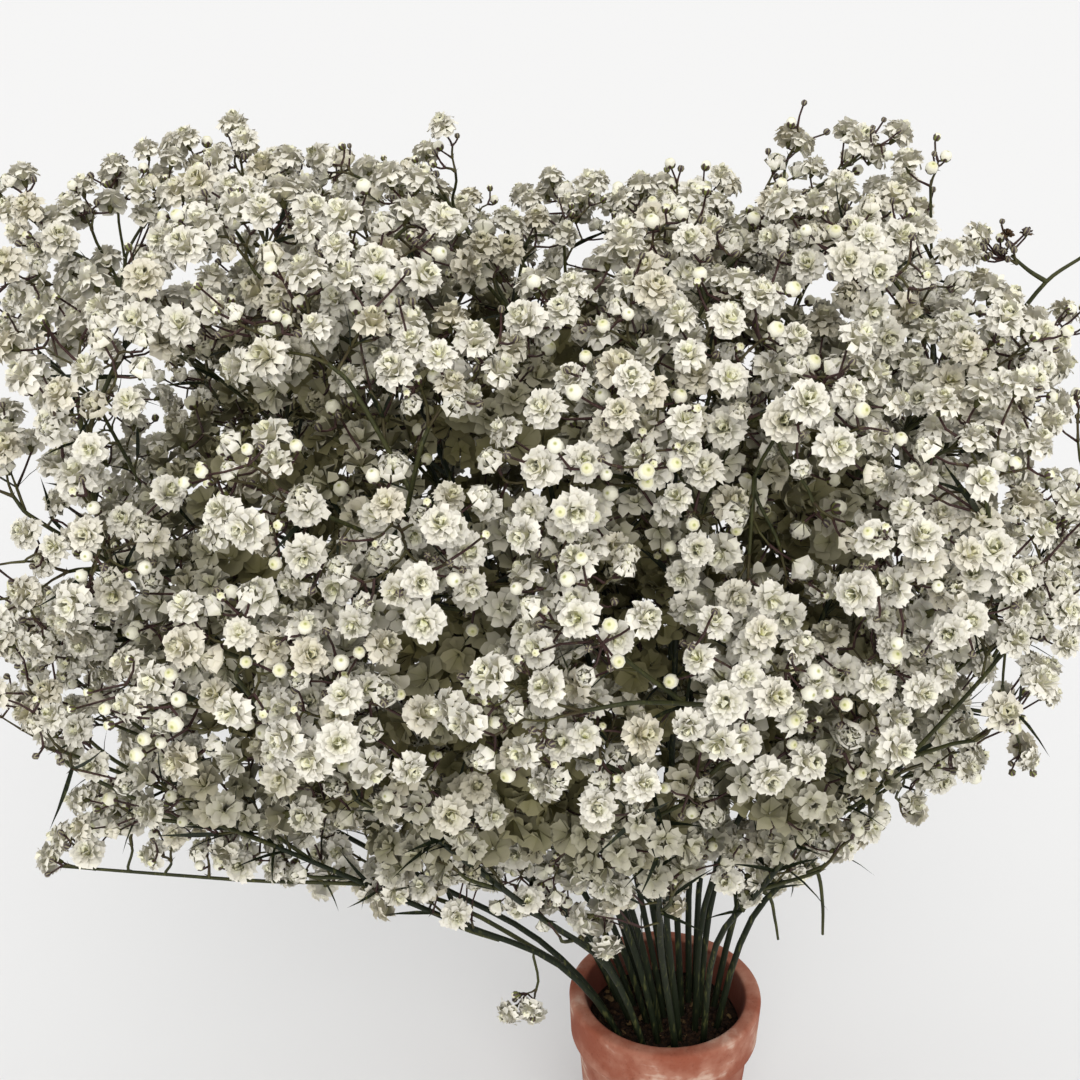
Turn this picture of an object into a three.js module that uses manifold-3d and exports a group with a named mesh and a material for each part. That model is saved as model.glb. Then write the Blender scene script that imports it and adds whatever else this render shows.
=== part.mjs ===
// A potted gypsophila: a small clay pot filled with compost, and a loose cloud of double white
// blooms carried by twenty-eight branching sprays that fan out from the pot's mouth.
//
// Millimetres, +Z up. The origin is the centre of the pot's foot. The bush leans towards -X, and
// its best side faces -Y.
//
// A real plant this size carries about two thousand blooms of 10 mm. Here each bloom stands for
// one clump of them, so it is drawn larger than life, and the whole cloud is still covered.

import * as THREE from 'three';
import { mergeVertices } from 'three/addons/utils/BufferGeometryUtils.js';
import Module from 'manifold-3d';

// Pot and compost
const POT_HEIGHT = 70;
const RIM_RADIUS = 32;
const MOUTH_RADIUS = 26.5;
const FOOT_RADIUS = 24.5;
const BAND_HEIGHT = 17;
const BAND_STEP = 3.2;
const BAND_TAPER = 0.4;
const WALL = 5;
const FLOOR = 7;
const EDGE = 1.2;
const DRAIN_RADIUS = 2.5;
const DRAIN_CIRCLE = 11;
const DRAINS = 3;
const DRAIN_SIDES = 8;
const COMPOST_TOP = 58;
const POT_SIDES = 28;
const GAP = 0.35;

// Fan of sprays: where their straight runs would meet, and how they stand round the fan's middle
const APEX = new THREE.Vector3(0, 0, 66);
const RINGS = [
	{ count: 1, tilt: 0, turn: 0 },
	{ count: 6, tilt: 16.5, turn: 14 },
	{ count: 10, tilt: 31.5, turn: 4 },
	{ count: 11, tilt: 48.5, turn: 17 },
];
const FAN_AIM = new THREE.Vector3(-38, 12, 238);
const FLATTEN = 0.2;
const ROOT_SPREAD = 18;
const ROOT_DEPTH = 18;
const JOIN = 20;
const BEND = 48;
const STEM_STEPS = [0, 0.34, 0.68, 1];
const STEM_RADIUS = 1.8;
const STEM_TAPER = 0.75;
const HOLE_RADIUS = 2.6;
const HOLE_SIDES = 5;

// Cloud of blooms and buds
const CROWN_CENTRE = new THREE.Vector3(-45, -16, 238);
const CROWN_RADII = new THREE.Vector3(147, 112, 106);
const CROWN_POWER = 3.1;
const LUMPS = 0.025;
const LUMP_WAVES = { x: 5.1, y: 4.3, z: 6.2, slant: -4.1 };
const LUMP_SHIFTS = { x: 1.3, y: 0.4 };
const OUTER_SHARE = 0.8;
const OUTER_SHELL = [0.9, 1];
const INNER_SHELL = [0.62, 0.84];
const NEAREST_TIP = 84;
const OPEN_HEIGHT = 80;
const OPEN_LEFT = 0.4;
const OPEN_RIGHT = 0.98;
const OPEN_FRONT = 1.25;
const OPEN_BACK = 0.62;
const THIN_SPOTS = [
	{ place: new THREE.Vector3(-176, -20, 268), size: 36 },
	{ place: new THREE.Vector3(-52, -40, 346), size: 22 },
	{ place: new THREE.Vector3(98, -20, 322), size: 24 },
];
const BLOOMS = 190;
const BLOOM_SPACING = 40;
const BUDS = 28;
const BUD_SPACING = 60;
const BUD_ROOM = 4;
const SPACING_STEP = 0.985;
const TRIES_A_STEP = 500;
const SEAT_ROUNDS = 3;
const SEAT_SLACK = 0.05;
const SEED = 15;
const SPRAY_SEEDS = 101;

// One bloom and one bud
const BLOOM_RADIUS = 14.5;
const SIZE_SPREAD = 0.1;
const PETALS = 5;
const NOTCH = 0.68;
const PETAL_LIFT = 0.06;
const NOTCH_DROP = 0.1;
const RUFFLE = 0.14;
const RAGGED = 0.06;
const INNER_WIDTH = 0.5;
const INNER_RISE = 0.42;
const INNER_SPREAD = 0.12;
const HEART_RISE = 0.14;
const CUP_SHARE = 0.36;
const BUD_RADIUS = 2.4;

// Branches
const ROOT_RADIUS = 0.66;
const BRANCH_RADIUS = 1.05;
const TWIG_RADIUS = 0.8;
const LONG_BRANCH = 30;
const SHORTEST_BRANCH = 1.3;
const BOW = 0.12;
const FOLLOW_BRANCH = 0.55;
const FIRST_FORK = 4;
const FORK_BEFORE_KNEE = 0.6;
const FORK_PAST_KNEE = 0.25;
const STEM_SHARE = 0.9;
const STEM_FORKS = [0.25, 0.6, 0.95];
const FORK_ANGLE = 68;
const BRANCH_ROOM = 2.6;
const CROSSING_COST = 45;
const REUSE_COST = 14;
const LOWER_CHECKS = [0.4, 0.6, 0.8, 1];
const UPPER_CHECKS = [0.25, 0.5, 0.75, 1];

const SAME_CORNER = 1e-4;
const NEAREST_CORNERS = 2e-3;
const RADIANS = Math.PI / 180;
const UP = new THREE.Vector3(0, 0, 1);

/** Gives a function that draws the same numbers from 0 to 1 on every run. */
function seeded(seed) {
	let state = seed;
	return () => {
		state = (state * 1664525 + 1013904223) % 4294967296;
		return state / 4294967296;
	};
}

const along = (from, to, share) => from.clone().lerp(to, share);
const offset = (point, direction, distance) => point.clone().addScaledVector(direction, distance);
const heading = (from, to) => to.clone().sub(from).normalize();

const wasm = await Module();
wasm.setup();

/** Makes a closed geometry into a solid that can be joined and cut. */
function solid(geometry) {
	const bare = geometry.clone();
	bare.deleteAttribute('normal');
	bare.deleteAttribute('uv');
	const merged = mergeVertices(bare, SAME_CORNER);
	return new wasm.Manifold(new wasm.Mesh({
		numProp: 3,
		vertProperties: new Float32Array(merged.attributes.position.array),
		triVerts: new Uint32Array(merged.index.array),
	}));
}

/** Keeps a mesh's largest skin: hollows sealed by joining are filled, and loose scraps dropped. */
function largestSkin(corners) {
	const faces = [];
	for (let i = 0; i < corners.length; i += 3) {
		const [a, b, c] = [corners[i], corners[i + 1], corners[i + 2]];
		if (a !== b && b !== c && c !== a) faces.push([a, b, c]);
	}
	const leader = faces.map((_, i) => i);
	const leaderOf = (i) => {
		while (leader[i] !== i) i = leader[i];
		return i;
	};
	const edges = new Map();
	faces.forEach((face, i) => face.forEach((a, side) => {
		const b = face[(side + 1) % 3];
		const edge = `${Math.min(a, b)} ${Math.max(a, b)}`;
		if (edges.has(edge)) leader[leaderOf(edges.get(edge))] = leaderOf(i);
		edges.set(edge, i);
	}));
	const sizes = new Map();
	faces.forEach((_, i) => sizes.set(leaderOf(i), (sizes.get(leaderOf(i)) ?? 0) + 1));
	const largest = [...sizes.keys()].reduce((a, b) => (sizes.get(b) > sizes.get(a) ? b : a));
	return faces.filter((_, i) => leaderOf(i) === largest).flat();
}

/** Makes a solid back into a geometry. */
function geometryOf(body) {
	const mesh = body.getMesh();
	const raw = new THREE.BufferGeometry();
	raw.setAttribute('position', new THREE.BufferAttribute(mesh.vertProperties, 3));
	raw.setIndex(new THREE.BufferAttribute(mesh.triVerts, 1));
	const geometry = mergeVertices(raw, NEAREST_CORNERS);
	geometry.setIndex(largestSkin(geometry.index.array));
	return geometry;
}

// Pot

/** The pot's inner radius at a height. */
function boreAt(height) {
	const share = (height - FLOOR) / (POT_HEIGHT - FLOOR);
	return THREE.MathUtils.lerp(FOOT_RADIUS - WALL, MOUTH_RADIUS, share);
}

/** Spins a profile of [radius, height] pairs round the pot's axis. */
function spun(pairs) {
	const profile = pairs.map(([radius, height]) => new THREE.Vector2(radius, height));
	return new THREE.LatheGeometry(profile, POT_SIDES).rotateX(Math.PI / 2);
}

/** A round rod on +Z, for a drain hole or a stem hole. */
function rod(radius, length, sides, at) {
	const geometry = new THREE.CylinderGeometry(radius, radius, length, sides).rotateX(Math.PI / 2);
	return solid(geometry.translate(at.x, at.y, at.z));
}

function pot() {
	const bandFoot = POT_HEIGHT - BAND_HEIGHT;
	const body = spun([
		[0, 0],
		[FOOT_RADIUS - EDGE, 0],
		[FOOT_RADIUS, EDGE],
		[RIM_RADIUS - BAND_STEP, bandFoot],
		[RIM_RADIUS - EDGE, bandFoot],
		[RIM_RADIUS - BAND_TAPER, bandFoot + EDGE],
		[RIM_RADIUS, POT_HEIGHT - EDGE],
		[RIM_RADIUS - EDGE, POT_HEIGHT],
		[MOUTH_RADIUS + EDGE, POT_HEIGHT],
		[MOUTH_RADIUS, POT_HEIGHT - EDGE],
		[FOOT_RADIUS - WALL, FLOOR],
		[0, FLOOR],
	]);
	let clay = solid(body);
	for (let i = 0; i < DRAINS; i += 1) {
		const turn = (2 * Math.PI * i) / DRAINS + Math.PI / 6;
		const at = new THREE.Vector3(DRAIN_CIRCLE * Math.cos(turn), DRAIN_CIRCLE * Math.sin(turn), 0);
		clay = clay.subtract(rod(DRAIN_RADIUS, 4 * FLOOR, DRAIN_SIDES, at));
	}
	return geometryOf(clay);
}

/** The compost, with a plain hole for each stem. */
function compost(roots) {
	const floor = FLOOR + GAP;
	let fill = solid(spun([
		[0, floor],
		[boreAt(floor) - GAP, floor],
		[boreAt(COMPOST_TOP) - GAP, COMPOST_TOP],
		[0, COMPOST_TOP],
	]));
	for (const root of roots) {
		const at = new THREE.Vector3(root.x, root.y, COMPOST_TOP);
		fill = fill.subtract(rod(HOLE_RADIUS, 2 * (ROOT_DEPTH + GAP), HOLE_SIDES, at));
	}
	return geometryOf(fill);
}

// Fan: every spray keeps to its own cone of directions, so no two sprays meet

const fanAxis = heading(APEX, FAN_AIM);
const fanEast = new THREE.Vector3(0, 1, 0).cross(fanAxis).normalize();
const fanNorth = fanAxis.clone().cross(fanEast);

/** The direction that stands at a tilt from the fan's middle, on a side of it. */
function fanDirection(tilt, turn) {
	const lean = tilt * (1 - FLATTEN * Math.sin(turn) ** 2) * RADIANS;
	return fanAxis.clone().multiplyScalar(Math.cos(lean))
		.addScaledVector(fanEast, Math.sin(lean) * Math.cos(turn))
		.addScaledVector(fanNorth, Math.sin(lean) * Math.sin(turn));
}

/** Lists the sprays, each with its direction and the place where its stem leaves the compost. */
function fanOut() {
	const widest = RINGS[RINGS.length - 1].tilt;
	return RINGS.flatMap(({ count, tilt, turn }) => Array.from({ length: count }, (_, i) => {
		const side = turn * RADIANS + (2 * Math.PI * i) / count;
		const spread = (ROOT_SPREAD * tilt) / widest;
		return {
			direction: fanDirection(tilt, side),
			root: new THREE.Vector3(spread * Math.cos(side), spread * Math.sin(side), COMPOST_TOP),
			tips: [],
		};
	}));
}

const sprays = fanOut();
for (const spray of sprays) {
	spray.walls = sprays.filter((other) => other !== spray)
		.map((other) => heading(other.direction, spray.direction));
}

/** The spray whose cone a point lies in. */
function owner(point) {
	const way = heading(APEX, point);
	return sprays.reduce((a, b) => (way.dot(b.direction) > way.dot(a.direction) ? b : a));
}

/** Moves a point inwards until it has room on every side in its spray's cone. */
function seated(point, spray, room) {
	const place = point.clone();
	for (let round = 0; round < SEAT_ROUNDS; round += 1) {
		for (const wall of spray.walls) {
			const clear = place.clone().sub(APEX).dot(wall);
			if (clear < room) place.addScaledVector(wall, room - clear);
		}
	}
	const inside = (wall) => place.clone().sub(APEX).dot(wall) > room - SEAT_SLACK;
	return spray.walls.every(inside) ? place : null;
}

// Cloud

/** How far the cloud reaches from its centre along a direction, with soft lumps. */
function reach(way) {
	const sum = ['x', 'y', 'z'].reduce(
		(total, axis) => total + Math.abs(way[axis] / CROWN_RADII[axis]) ** CROWN_POWER, 0);
	const broad = Math.sin(LUMP_WAVES.x * way.x + LUMP_SHIFTS.x)
		* Math.sin(LUMP_WAVES.y * way.y + LUMP_SHIFTS.y);
	const slanted = Math.sin(LUMP_WAVES.z * way.z + LUMP_WAVES.slant * way.x);
	return (1 + LUMPS * (broad + slanted)) / sum ** (1 / CROWN_POWER);
}

/** The height under which the cloud is open: a cone out of the pot, steeper at the front. */
function openBelow(point) {
	const aside = point.x * (point.x < 0 ? OPEN_LEFT : OPEN_RIGHT);
	const ahead = point.y * (point.y < 0 ? OPEN_FRONT : OPEN_BACK);
	return OPEN_HEIGHT + Math.hypot(aside, ahead);
}

/** Draws one place in the cloud's shell, or nothing where the cloud is open. */
function draught(draw) {
	const z = 2 * draw() - 1;
	const turn = 2 * Math.PI * draw();
	const flat = Math.sqrt(1 - z * z);
	const way = new THREE.Vector3(flat * Math.cos(turn), flat * Math.sin(turn), z);
	const [deepest, shallowest] = draw() < OUTER_SHARE ? OUTER_SHELL : INNER_SHELL;
	const depth = THREE.MathUtils.lerp(deepest, shallowest, draw());
	const point = offset(CROWN_CENTRE, way, reach(way) * depth);
	if (point.z < openBelow(point) || point.distanceTo(APEX) < NEAREST_TIP) return null;
	if (THIN_SPOTS.some(({ place, size }) => place.distanceTo(point) < size)) return null;
	return point;
}

/** Sets tips of one size in the cloud, as evenly spaced as their number allows. */
function setTips(count, size, room, start, draw) {
	const set = sprays.flatMap((spray) => spray.tips);
	const wanted = set.length + count;
	for (let spacing = start; set.length < wanted; spacing *= SPACING_STEP) {
		for (let i = 0; i < TRIES_A_STEP && set.length < wanted; i += 1) {
			const point = draught(draw);
			if (!point) continue;
			const spray = owner(point);
			const place = seated(point, spray, size + GAP);
			const apart = (other) => (other.size === size ? spacing : other.size + size + room);
			if (!place || set.some((other) => other.place.distanceTo(place) < apart(other))) continue;
			const tip = { place, size };
			set.push(tip);
			spray.tips.push(tip);
		}
	}
}

// Stems, branches and blooms

/** Points of a ring round a place, square to a direction. */
function ring(place, direction, radius, sides, turn = 0) {
	const side = Math.abs(direction.z) < 0.9 ? UP.clone() : new THREE.Vector3(1, 0, 0);
	const across = side.cross(direction).normalize();
	const over = direction.clone().cross(across);
	return Array.from({ length: sides }, (_, i) => {
		const angle = turn + (2 * Math.PI * i) / sides;
		return offset(offset(place, across, radius * Math.cos(angle)), over, radius * Math.sin(angle));
	});
}

/** Collects rings of points into one closed skin. */
class Skin {
	constructor() {
		this.points = [];
		this.faces = [];
	}

	add(points) {
		const first = this.points.length;
		this.points.push(...points);
		return points.map((_, i) => first + i);
	}

	cap(loop, outwards) {
		for (let i = 1; i < loop.length - 1; i += 1) {
			const face = [loop[0], loop[i], loop[i + 1]];
			this.faces.push(outwards ? face : face.reverse());
		}
	}

	cone(loop, tip) {
		loop.forEach((a, i) => this.faces.push([a, loop[(i + 1) % loop.length], tip]));
	}

	/** Joins two loops that may have different numbers of points. */
	bridge(low, high) {
		let i = 0;
		let j = 0;
		while (i < low.length || j < high.length) {
			const lowNext = (i + 1) / low.length;
			const highNext = (j + 1) / high.length;
			const a = low[i % low.length];
			const b = high[j % high.length];
			if (j >= high.length || (i < low.length && lowNext <= highNext)) {
				this.faces.push([a, low[(i + 1) % low.length], b]);
				i += 1;
			} else {
				this.faces.push([a, high[(j + 1) % high.length], b]);
				j += 1;
			}
		}
	}

	/** A tube through a list of places, left open at its far end. */
	tube(path, radii, sides, turn = 0) {
		let last = null;
		path.forEach((place, i) => {
			const before = path[Math.max(i - 1, 0)];
			const after = path[Math.min(i + 1, path.length - 1)];
			const loop = this.add(ring(place, heading(before, after), radii[i], sides, turn));
			if (last) this.bridge(last, loop);
			else this.cap(loop, false);
			last = loop;
		});
		return last;
	}

	solid() {
		const geometry = new THREE.BufferGeometry().setFromPoints(this.points);
		geometry.setIndex(this.faces.flat());
		return solid(geometry);
	}
}

/** One bloom on its stalk: five waved outer petals, five raised inner ones and a sunk heart. */
function bloom(skin, stalk, place, normal, draw) {
	const size = BLOOM_RADIUS * (1 - SIZE_SPREAD * draw());
	const turn = 2 * Math.PI * draw();
	const rim = ring(place, normal, 1, 2 * PETALS, turn).map((point, i) => {
		const width = (i % 2 ? NOTCH : 1) * (1 - RAGGED * draw());
		const wave = (i % 2 ? -NOTCH_DROP : PETAL_LIFT) + RUFFLE * (draw() - 0.5);
		const edge = offset(place, heading(place, point), size * width);
		return offset(edge, normal, size * wave);
	});
	const crest = ring(place, normal, 1, PETALS, turn + Math.PI / PETALS).map((point) => {
		const rise = INNER_RISE + INNER_SPREAD * draw();
		return offset(offset(place, heading(place, point), INNER_WIDTH * size), normal, size * rise);
	});
	const petals = skin.add(rim);
	const inner = skin.add(crest);
	const heart = skin.add([offset(place, normal, HEART_RISE * size)])[0];
	skin.bridge(stalk, petals);
	skin.bridge(petals, inner);
	skin.cone(inner, heart);
}

/** One round bud on its stalk. */
function bud(skin, stalk, place, normal) {
	const belly = skin.add(ring(place, normal, BUD_RADIUS, 4));
	const tip = skin.add([offset(place, normal, BUD_RADIUS)])[0];
	skin.bridge(stalk, belly);
	skin.cone(belly, tip);
}

/** The main stem's places, from the bottom of its hole to the height where the last forks leave. */
function stemPath(spray) {
	const middle = spray.tips.reduce((sum, tip) => sum.add(tip.place), new THREE.Vector3())
		.divideScalar(spray.tips.length);
	const top = along(APEX, middle, STEM_SHARE);
	const join = offset(APEX, spray.direction, JOIN);
	const bend = offset(APEX, spray.direction, BEND);
	const foot = spray.root.clone().setZ(COMPOST_TOP - ROOT_DEPTH);
	return [foot, spray.root, join, ...STEM_STEPS.map((share) => along(bend, top, share))];
}

/** Plans a branch from a fork to a tip: its knee where it is long, and the cup under its bloom. */
function plan(fork, tip) {
	const far = fork.place.distanceTo(tip.place);
	const bow = far > LONG_BRANCH ? BOW * far : 0;
	const knee = offset(along(fork.place, tip.place, 0.5), fork.heading, bow);
	const normal = heading(knee, tip.place).multiplyScalar(FOLLOW_BRANCH)
		.addScaledVector(heading(CROWN_CENTRE, tip.place), 1 - FOLLOW_BRANCH).normalize();
	return { fork, tip, far, knee, normal, cup: offset(tip.place, normal, -CUP_SHARE * tip.size) };
}

/** Counts the tips and branches that a planned branch would pass through. */
function tangle({ fork, tip, knee, cup }, tips, runs) {
	const near = new THREE.Vector3();
	const gap = (line, place) => line.closestPointToPoint(place, true, near).distanceTo(place);
	const own = [new THREE.Line3(fork.place, knee), new THREE.Line3(knee, cup)];
	const strikes = (other) => own.some((run) => gap(run, other.place) < other.size);
	const struck = tips.filter((other) => other !== tip && strikes(other));
	const places = LOWER_CHECKS.map((share) => along(fork.place, knee, share))
		.concat(UPPER_CHECKS.map((share) => along(knee, cup, share)));
	const crossed = runs.filter((other) => places.some((place) => gap(other, place) < BRANCH_ROOM));
	return struck.length + crossed.length;
}

/** Finds where a branch to a tip leaves best: near by, unused, clear, and without turning back. */
function bestPlan(forks, tip, tips, runs) {
	let best = null;
	for (const fork of forks) {
		const branch = plan(fork, tip);
		if (branch.far < SHORTEST_BRANCH * tip.size) continue;
		const turn = heading(fork.place, tip.place).angleTo(fork.heading) / RADIANS;
		const crossing = CROSSING_COST * tangle(branch, tips, runs);
		branch.cost = branch.far * (1 + (turn / FORK_ANGLE) ** 3) + REUSE_COST * fork.uses + crossing;
		if (!best || branch.cost < best.cost) best = branch;
	}
	best.fork.uses += 1;
	return best;
}

/** Makes a planned branch with its bloom or bud. */
function branchSolid({ fork, tip, far, knee, normal, cup }, draw) {
	const skin = new Skin();
	const turn = Math.PI * draw();
	const stalk = far > LONG_BRANCH
		? skin.tube([fork.place, knee, cup], [ROOT_RADIUS, BRANCH_RADIUS, TWIG_RADIUS], 3, turn)
		: skin.tube([fork.place, cup], [ROOT_RADIUS, TWIG_RADIUS], 3, turn);
	if (tip.size === BUD_RADIUS) bud(skin, stalk, tip.place, normal);
	else bloom(skin, stalk, tip.place, normal, draw);
	return skin.solid();
}

/** Grows one spray: its stem, then a branch for each bloom and bud. */
function growSpray(spray, draw) {
	const path = stemPath(spray);
	const radii = path.map((_, i) => STEM_RADIUS * (1 - (1 - STEM_TAPER) * (i / (path.length - 1))));
	const trunk = new Skin();
	trunk.cap(trunk.tube(path, radii, 4), true);
	let body = trunk.solid();
	const forks = [];
	const runs = [];
	for (let i = FIRST_FORK; i < path.length; i += 1) {
		const way = heading(path[i - 1], path[i]);
		runs.push(new THREE.Line3(path[i - 1], path[i]));
		for (const share of STEM_FORKS) {
			forks.push({ place: along(path[i - 1], path[i], share), heading: way, uses: 0 });
		}
	}
	const top = path[path.length - 1];
	const order = [...spray.tips].sort((a, b) => a.place.distanceTo(top) - b.place.distanceTo(top));
	for (const tip of order) {
		const branch = bestPlan(forks, tip, spray.tips, runs);
		const { fork, knee, cup } = branch;
		body = body.add(branchSolid(branch, draw));
		const upper = { place: along(knee, cup, FORK_PAST_KNEE), heading: heading(knee, cup), uses: 0 };
		const way = heading(fork.place, knee);
		const lower = { place: along(fork.place, knee, FORK_BEFORE_KNEE), heading: way, uses: 0 };
		forks.push(upper, lower);
		runs.push(new THREE.Line3(fork.place, knee), new THREE.Line3(knee, cup));
	}
	return geometryOf(body);
}

const draw = seeded(SEED);
setTips(BLOOMS, BLOOM_RADIUS, 0, BLOOM_SPACING, draw);
setTips(BUDS, BUD_RADIUS, BUD_ROOM, BUD_SPACING, draw);

// Assembly

const clayFinish = new THREE.MeshStandardMaterial({ color: '#8f4f3a', roughness: 0.9, metalness: 0 });
const compostFinish = new THREE.MeshStandardMaterial({ color: '#2a1e16', roughness: 1, metalness: 0 });
const petalFinish = new THREE.MeshStandardMaterial({ color: '#f3f1ea', roughness: 0.8, metalness: 0 });

const group = new THREE.Group();

function addPiece(name, geometry, finish) {
	const mesh = new THREE.Mesh(geometry, finish);
	mesh.name = name;
	group.add(mesh);
}

addPiece('pot', pot(), clayFinish);
addPiece('compost', compost(sprays.map((spray) => spray.root)), compostFinish);
sprays.forEach((spray, i) => {
	const name = `spray_${String(i + 1).padStart(2, '0')}`;
	addPiece(name, growSpray(spray, seeded(SEED + SPRAY_SEEDS * (i + 1))), petalFinish);
});

export default group;
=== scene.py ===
"""Looks for a potted gypsophila: a cloud of small double white blooms, carried by thin branching
stems that fan out of a small clay pot.

Lengths are in millimetres until a mesh is finished, and in metres from there on. The sprays grow by
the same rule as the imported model's, so each one here fills the place of its own solid.
"""

import logging
import math
from collections.abc import Iterable, Sequence
from dataclasses import dataclass, field
from enum import Enum
from typing import TypeVar

import bmesh
import bpy
from mathutils import Matrix, Vector
from mathutils.geometry import interpolate_bezier


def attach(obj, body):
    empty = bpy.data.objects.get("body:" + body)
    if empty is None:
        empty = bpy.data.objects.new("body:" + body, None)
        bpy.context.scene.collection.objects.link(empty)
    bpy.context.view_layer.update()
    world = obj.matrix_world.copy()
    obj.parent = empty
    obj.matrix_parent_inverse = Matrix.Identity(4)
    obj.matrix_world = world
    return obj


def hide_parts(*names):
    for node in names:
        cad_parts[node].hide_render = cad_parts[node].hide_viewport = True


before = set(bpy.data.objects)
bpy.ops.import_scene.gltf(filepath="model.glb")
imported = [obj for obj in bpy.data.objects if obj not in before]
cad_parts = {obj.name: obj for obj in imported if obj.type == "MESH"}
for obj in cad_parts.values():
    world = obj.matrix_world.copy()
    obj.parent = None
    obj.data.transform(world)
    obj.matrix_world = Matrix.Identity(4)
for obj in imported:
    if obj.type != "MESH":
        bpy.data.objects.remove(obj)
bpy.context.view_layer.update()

MM = 0.001
UP = Vector((0, 0, 1))
CAP_GAP = 2e-6
BUD_SLOT = 1
TO_METRES = Matrix.Scale(MM, 4)
Triple = tuple[float, float, float]
Pair = tuple[float, float]
Thing = TypeVar("Thing")

log = logging.getLogger("gypsophila")


class Draws:
    """Random numbers that come out the same on every run."""

    FACTOR = 1664525
    SHIFT = 1013904223
    RANGE = 2 ** 32

    def __init__(self, seed: int) -> None:
        """Starts the numbers from a seed."""
        self.state = seed

    def number(self) -> float:
        """Draws a number from 0 to 1."""
        self.state = (self.state * self.FACTOR + self.SHIFT) % self.RANGE
        return self.state / self.RANGE

    def between(self, low: float, high: float) -> float:
        """Draws a number between two others."""
        return low + (high - low) * self.number()

    def pick(self, things: Sequence[Thing]) -> Thing:
        """Draws one of several things."""
        return things[int(self.number() * len(things))]

    def way(self) -> Vector:
        """Draws a direction, alike on all sides.

        Returns:
            The direction, of length 1.
        """
        z = self.between(-1, 1)
        turn = 2 * math.pi * self.number()
        flat = math.sqrt(1 - z * z)
        return Vector((flat * math.cos(turn), flat * math.sin(turn), z))


def heading(start: Vector, end: Vector) -> Vector:
    """The direction from one place to another."""
    return (end - start).normalized()


def gap_to_run(start: Vector, end: Vector, place: Vector) -> float:
    """The distance from a place to the straight run between two others.

    Args:
        start: where the run starts.
        end: where it ends.
        place: the place.

    Returns:
        The distance.
    """
    run = end - start
    share = min(max((place - start).dot(run) / run.length_squared, 0), 1)
    return (start + run * share - place).length


@dataclass
class Tip:
    """One clump of blooms, or one bud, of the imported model."""

    place: Vector
    size: float


@dataclass
class Spray:
    """One flowering stem, with its direction, the place of its root and the walls of its cone."""

    name: str
    direction: Vector
    root: Vector
    walls: list[Vector] = field(default_factory=list)
    tips: list[Tip] = field(default_factory=list)


@dataclass(frozen=True)
class Ring:
    """Sprays that stand at one tilt round the fan's middle."""

    count: int
    tilt: float
    turn: float


@dataclass(frozen=True)
class Fan:
    """How the sprays stand in the pot: each keeps to its own cone of directions from one apex."""

    apex: Triple = (0, 0, 66)
    aim: Triple = (-38, 12, 238)
    rings: tuple[Ring, ...] = (Ring(1, 0, 0), Ring(6, 16.5, 14), Ring(10, 31.5, 4), Ring(11, 48.5, 17))
    flatten: float = 0.2
    root_spread: float = 18
    compost_top: float = 58
    seat_rounds: int = 3
    seat_slack: float = 0.05

    def direction(self, tilt: float, side: float) -> Vector:
        """Gives the direction at a tilt from the fan's middle.

        Args:
            tilt: degrees from the middle.
            side: angle round the middle, in radians.

        Returns:
            The direction, of length 1.
        """
        axis = heading(Vector(self.apex), Vector(self.aim))
        east = Vector((0, 1, 0)).cross(axis).normalized()
        north = axis.cross(east)
        lean = math.radians(tilt * (1 - self.flatten * math.sin(side) ** 2))
        return (axis * math.cos(lean) + east * (math.sin(lean) * math.cos(side))
                + north * (math.sin(lean) * math.sin(side)))

    def sprays(self) -> list[Spray]:
        """Lists the sprays, ring by ring.

        Returns:
            The sprays, each with the walls of its cone and with no tips yet.
        """
        sprays = []
        for ring in self.rings:
            for i in range(ring.count):
                side = math.radians(ring.turn) + 2 * math.pi * i / ring.count
                spread = self.root_spread * ring.tilt / self.rings[-1].tilt
                root = Vector((spread * math.cos(side), spread * math.sin(side), self.compost_top))
                name = f"spray_{len(sprays) + 1:02d}"
                sprays.append(Spray(name, self.direction(ring.tilt, side), root))
        for spray in sprays:
            others = [other for other in sprays if other is not spray]
            spray.walls = [heading(other.direction, spray.direction) for other in others]
        return sprays

    def owner(self, sprays: list[Spray], place: Vector) -> Spray:
        """The spray whose cone a place lies in."""
        way = heading(Vector(self.apex), place)
        return max(sprays, key=lambda spray: way.dot(spray.direction))

    def seated(self, point: Vector, spray: Spray, room: float) -> Vector | None:
        """Moves a point inwards until it has room on every side in its spray's cone.

        Args:
            point: where it would stand.
            spray: the spray that it belongs to.
            room: its least distance from the cone's walls.

        Returns:
            The new place, or None where the cone is too narrow for it.
        """
        apex = Vector(self.apex)
        place = point - apex
        for _ in range(self.seat_rounds):
            for wall in spray.walls:
                clear = place.dot(wall)
                if clear < room:
                    place = place + wall * (room - clear)
        if any(place.dot(wall) <= room - self.seat_slack for wall in spray.walls):
            return None
        return place + apex


@dataclass(frozen=True)
class ThinSpot:
    """A ball in the cloud where the photo shows the background through it."""

    place: Triple
    size: float


def spots(*rows: tuple[float, float, float, float]) -> tuple[ThinSpot, ...]:
    """Thin spots from rows of a place and a size."""
    return tuple(ThinSpot(row[:3], row[3]) for row in rows)


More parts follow.
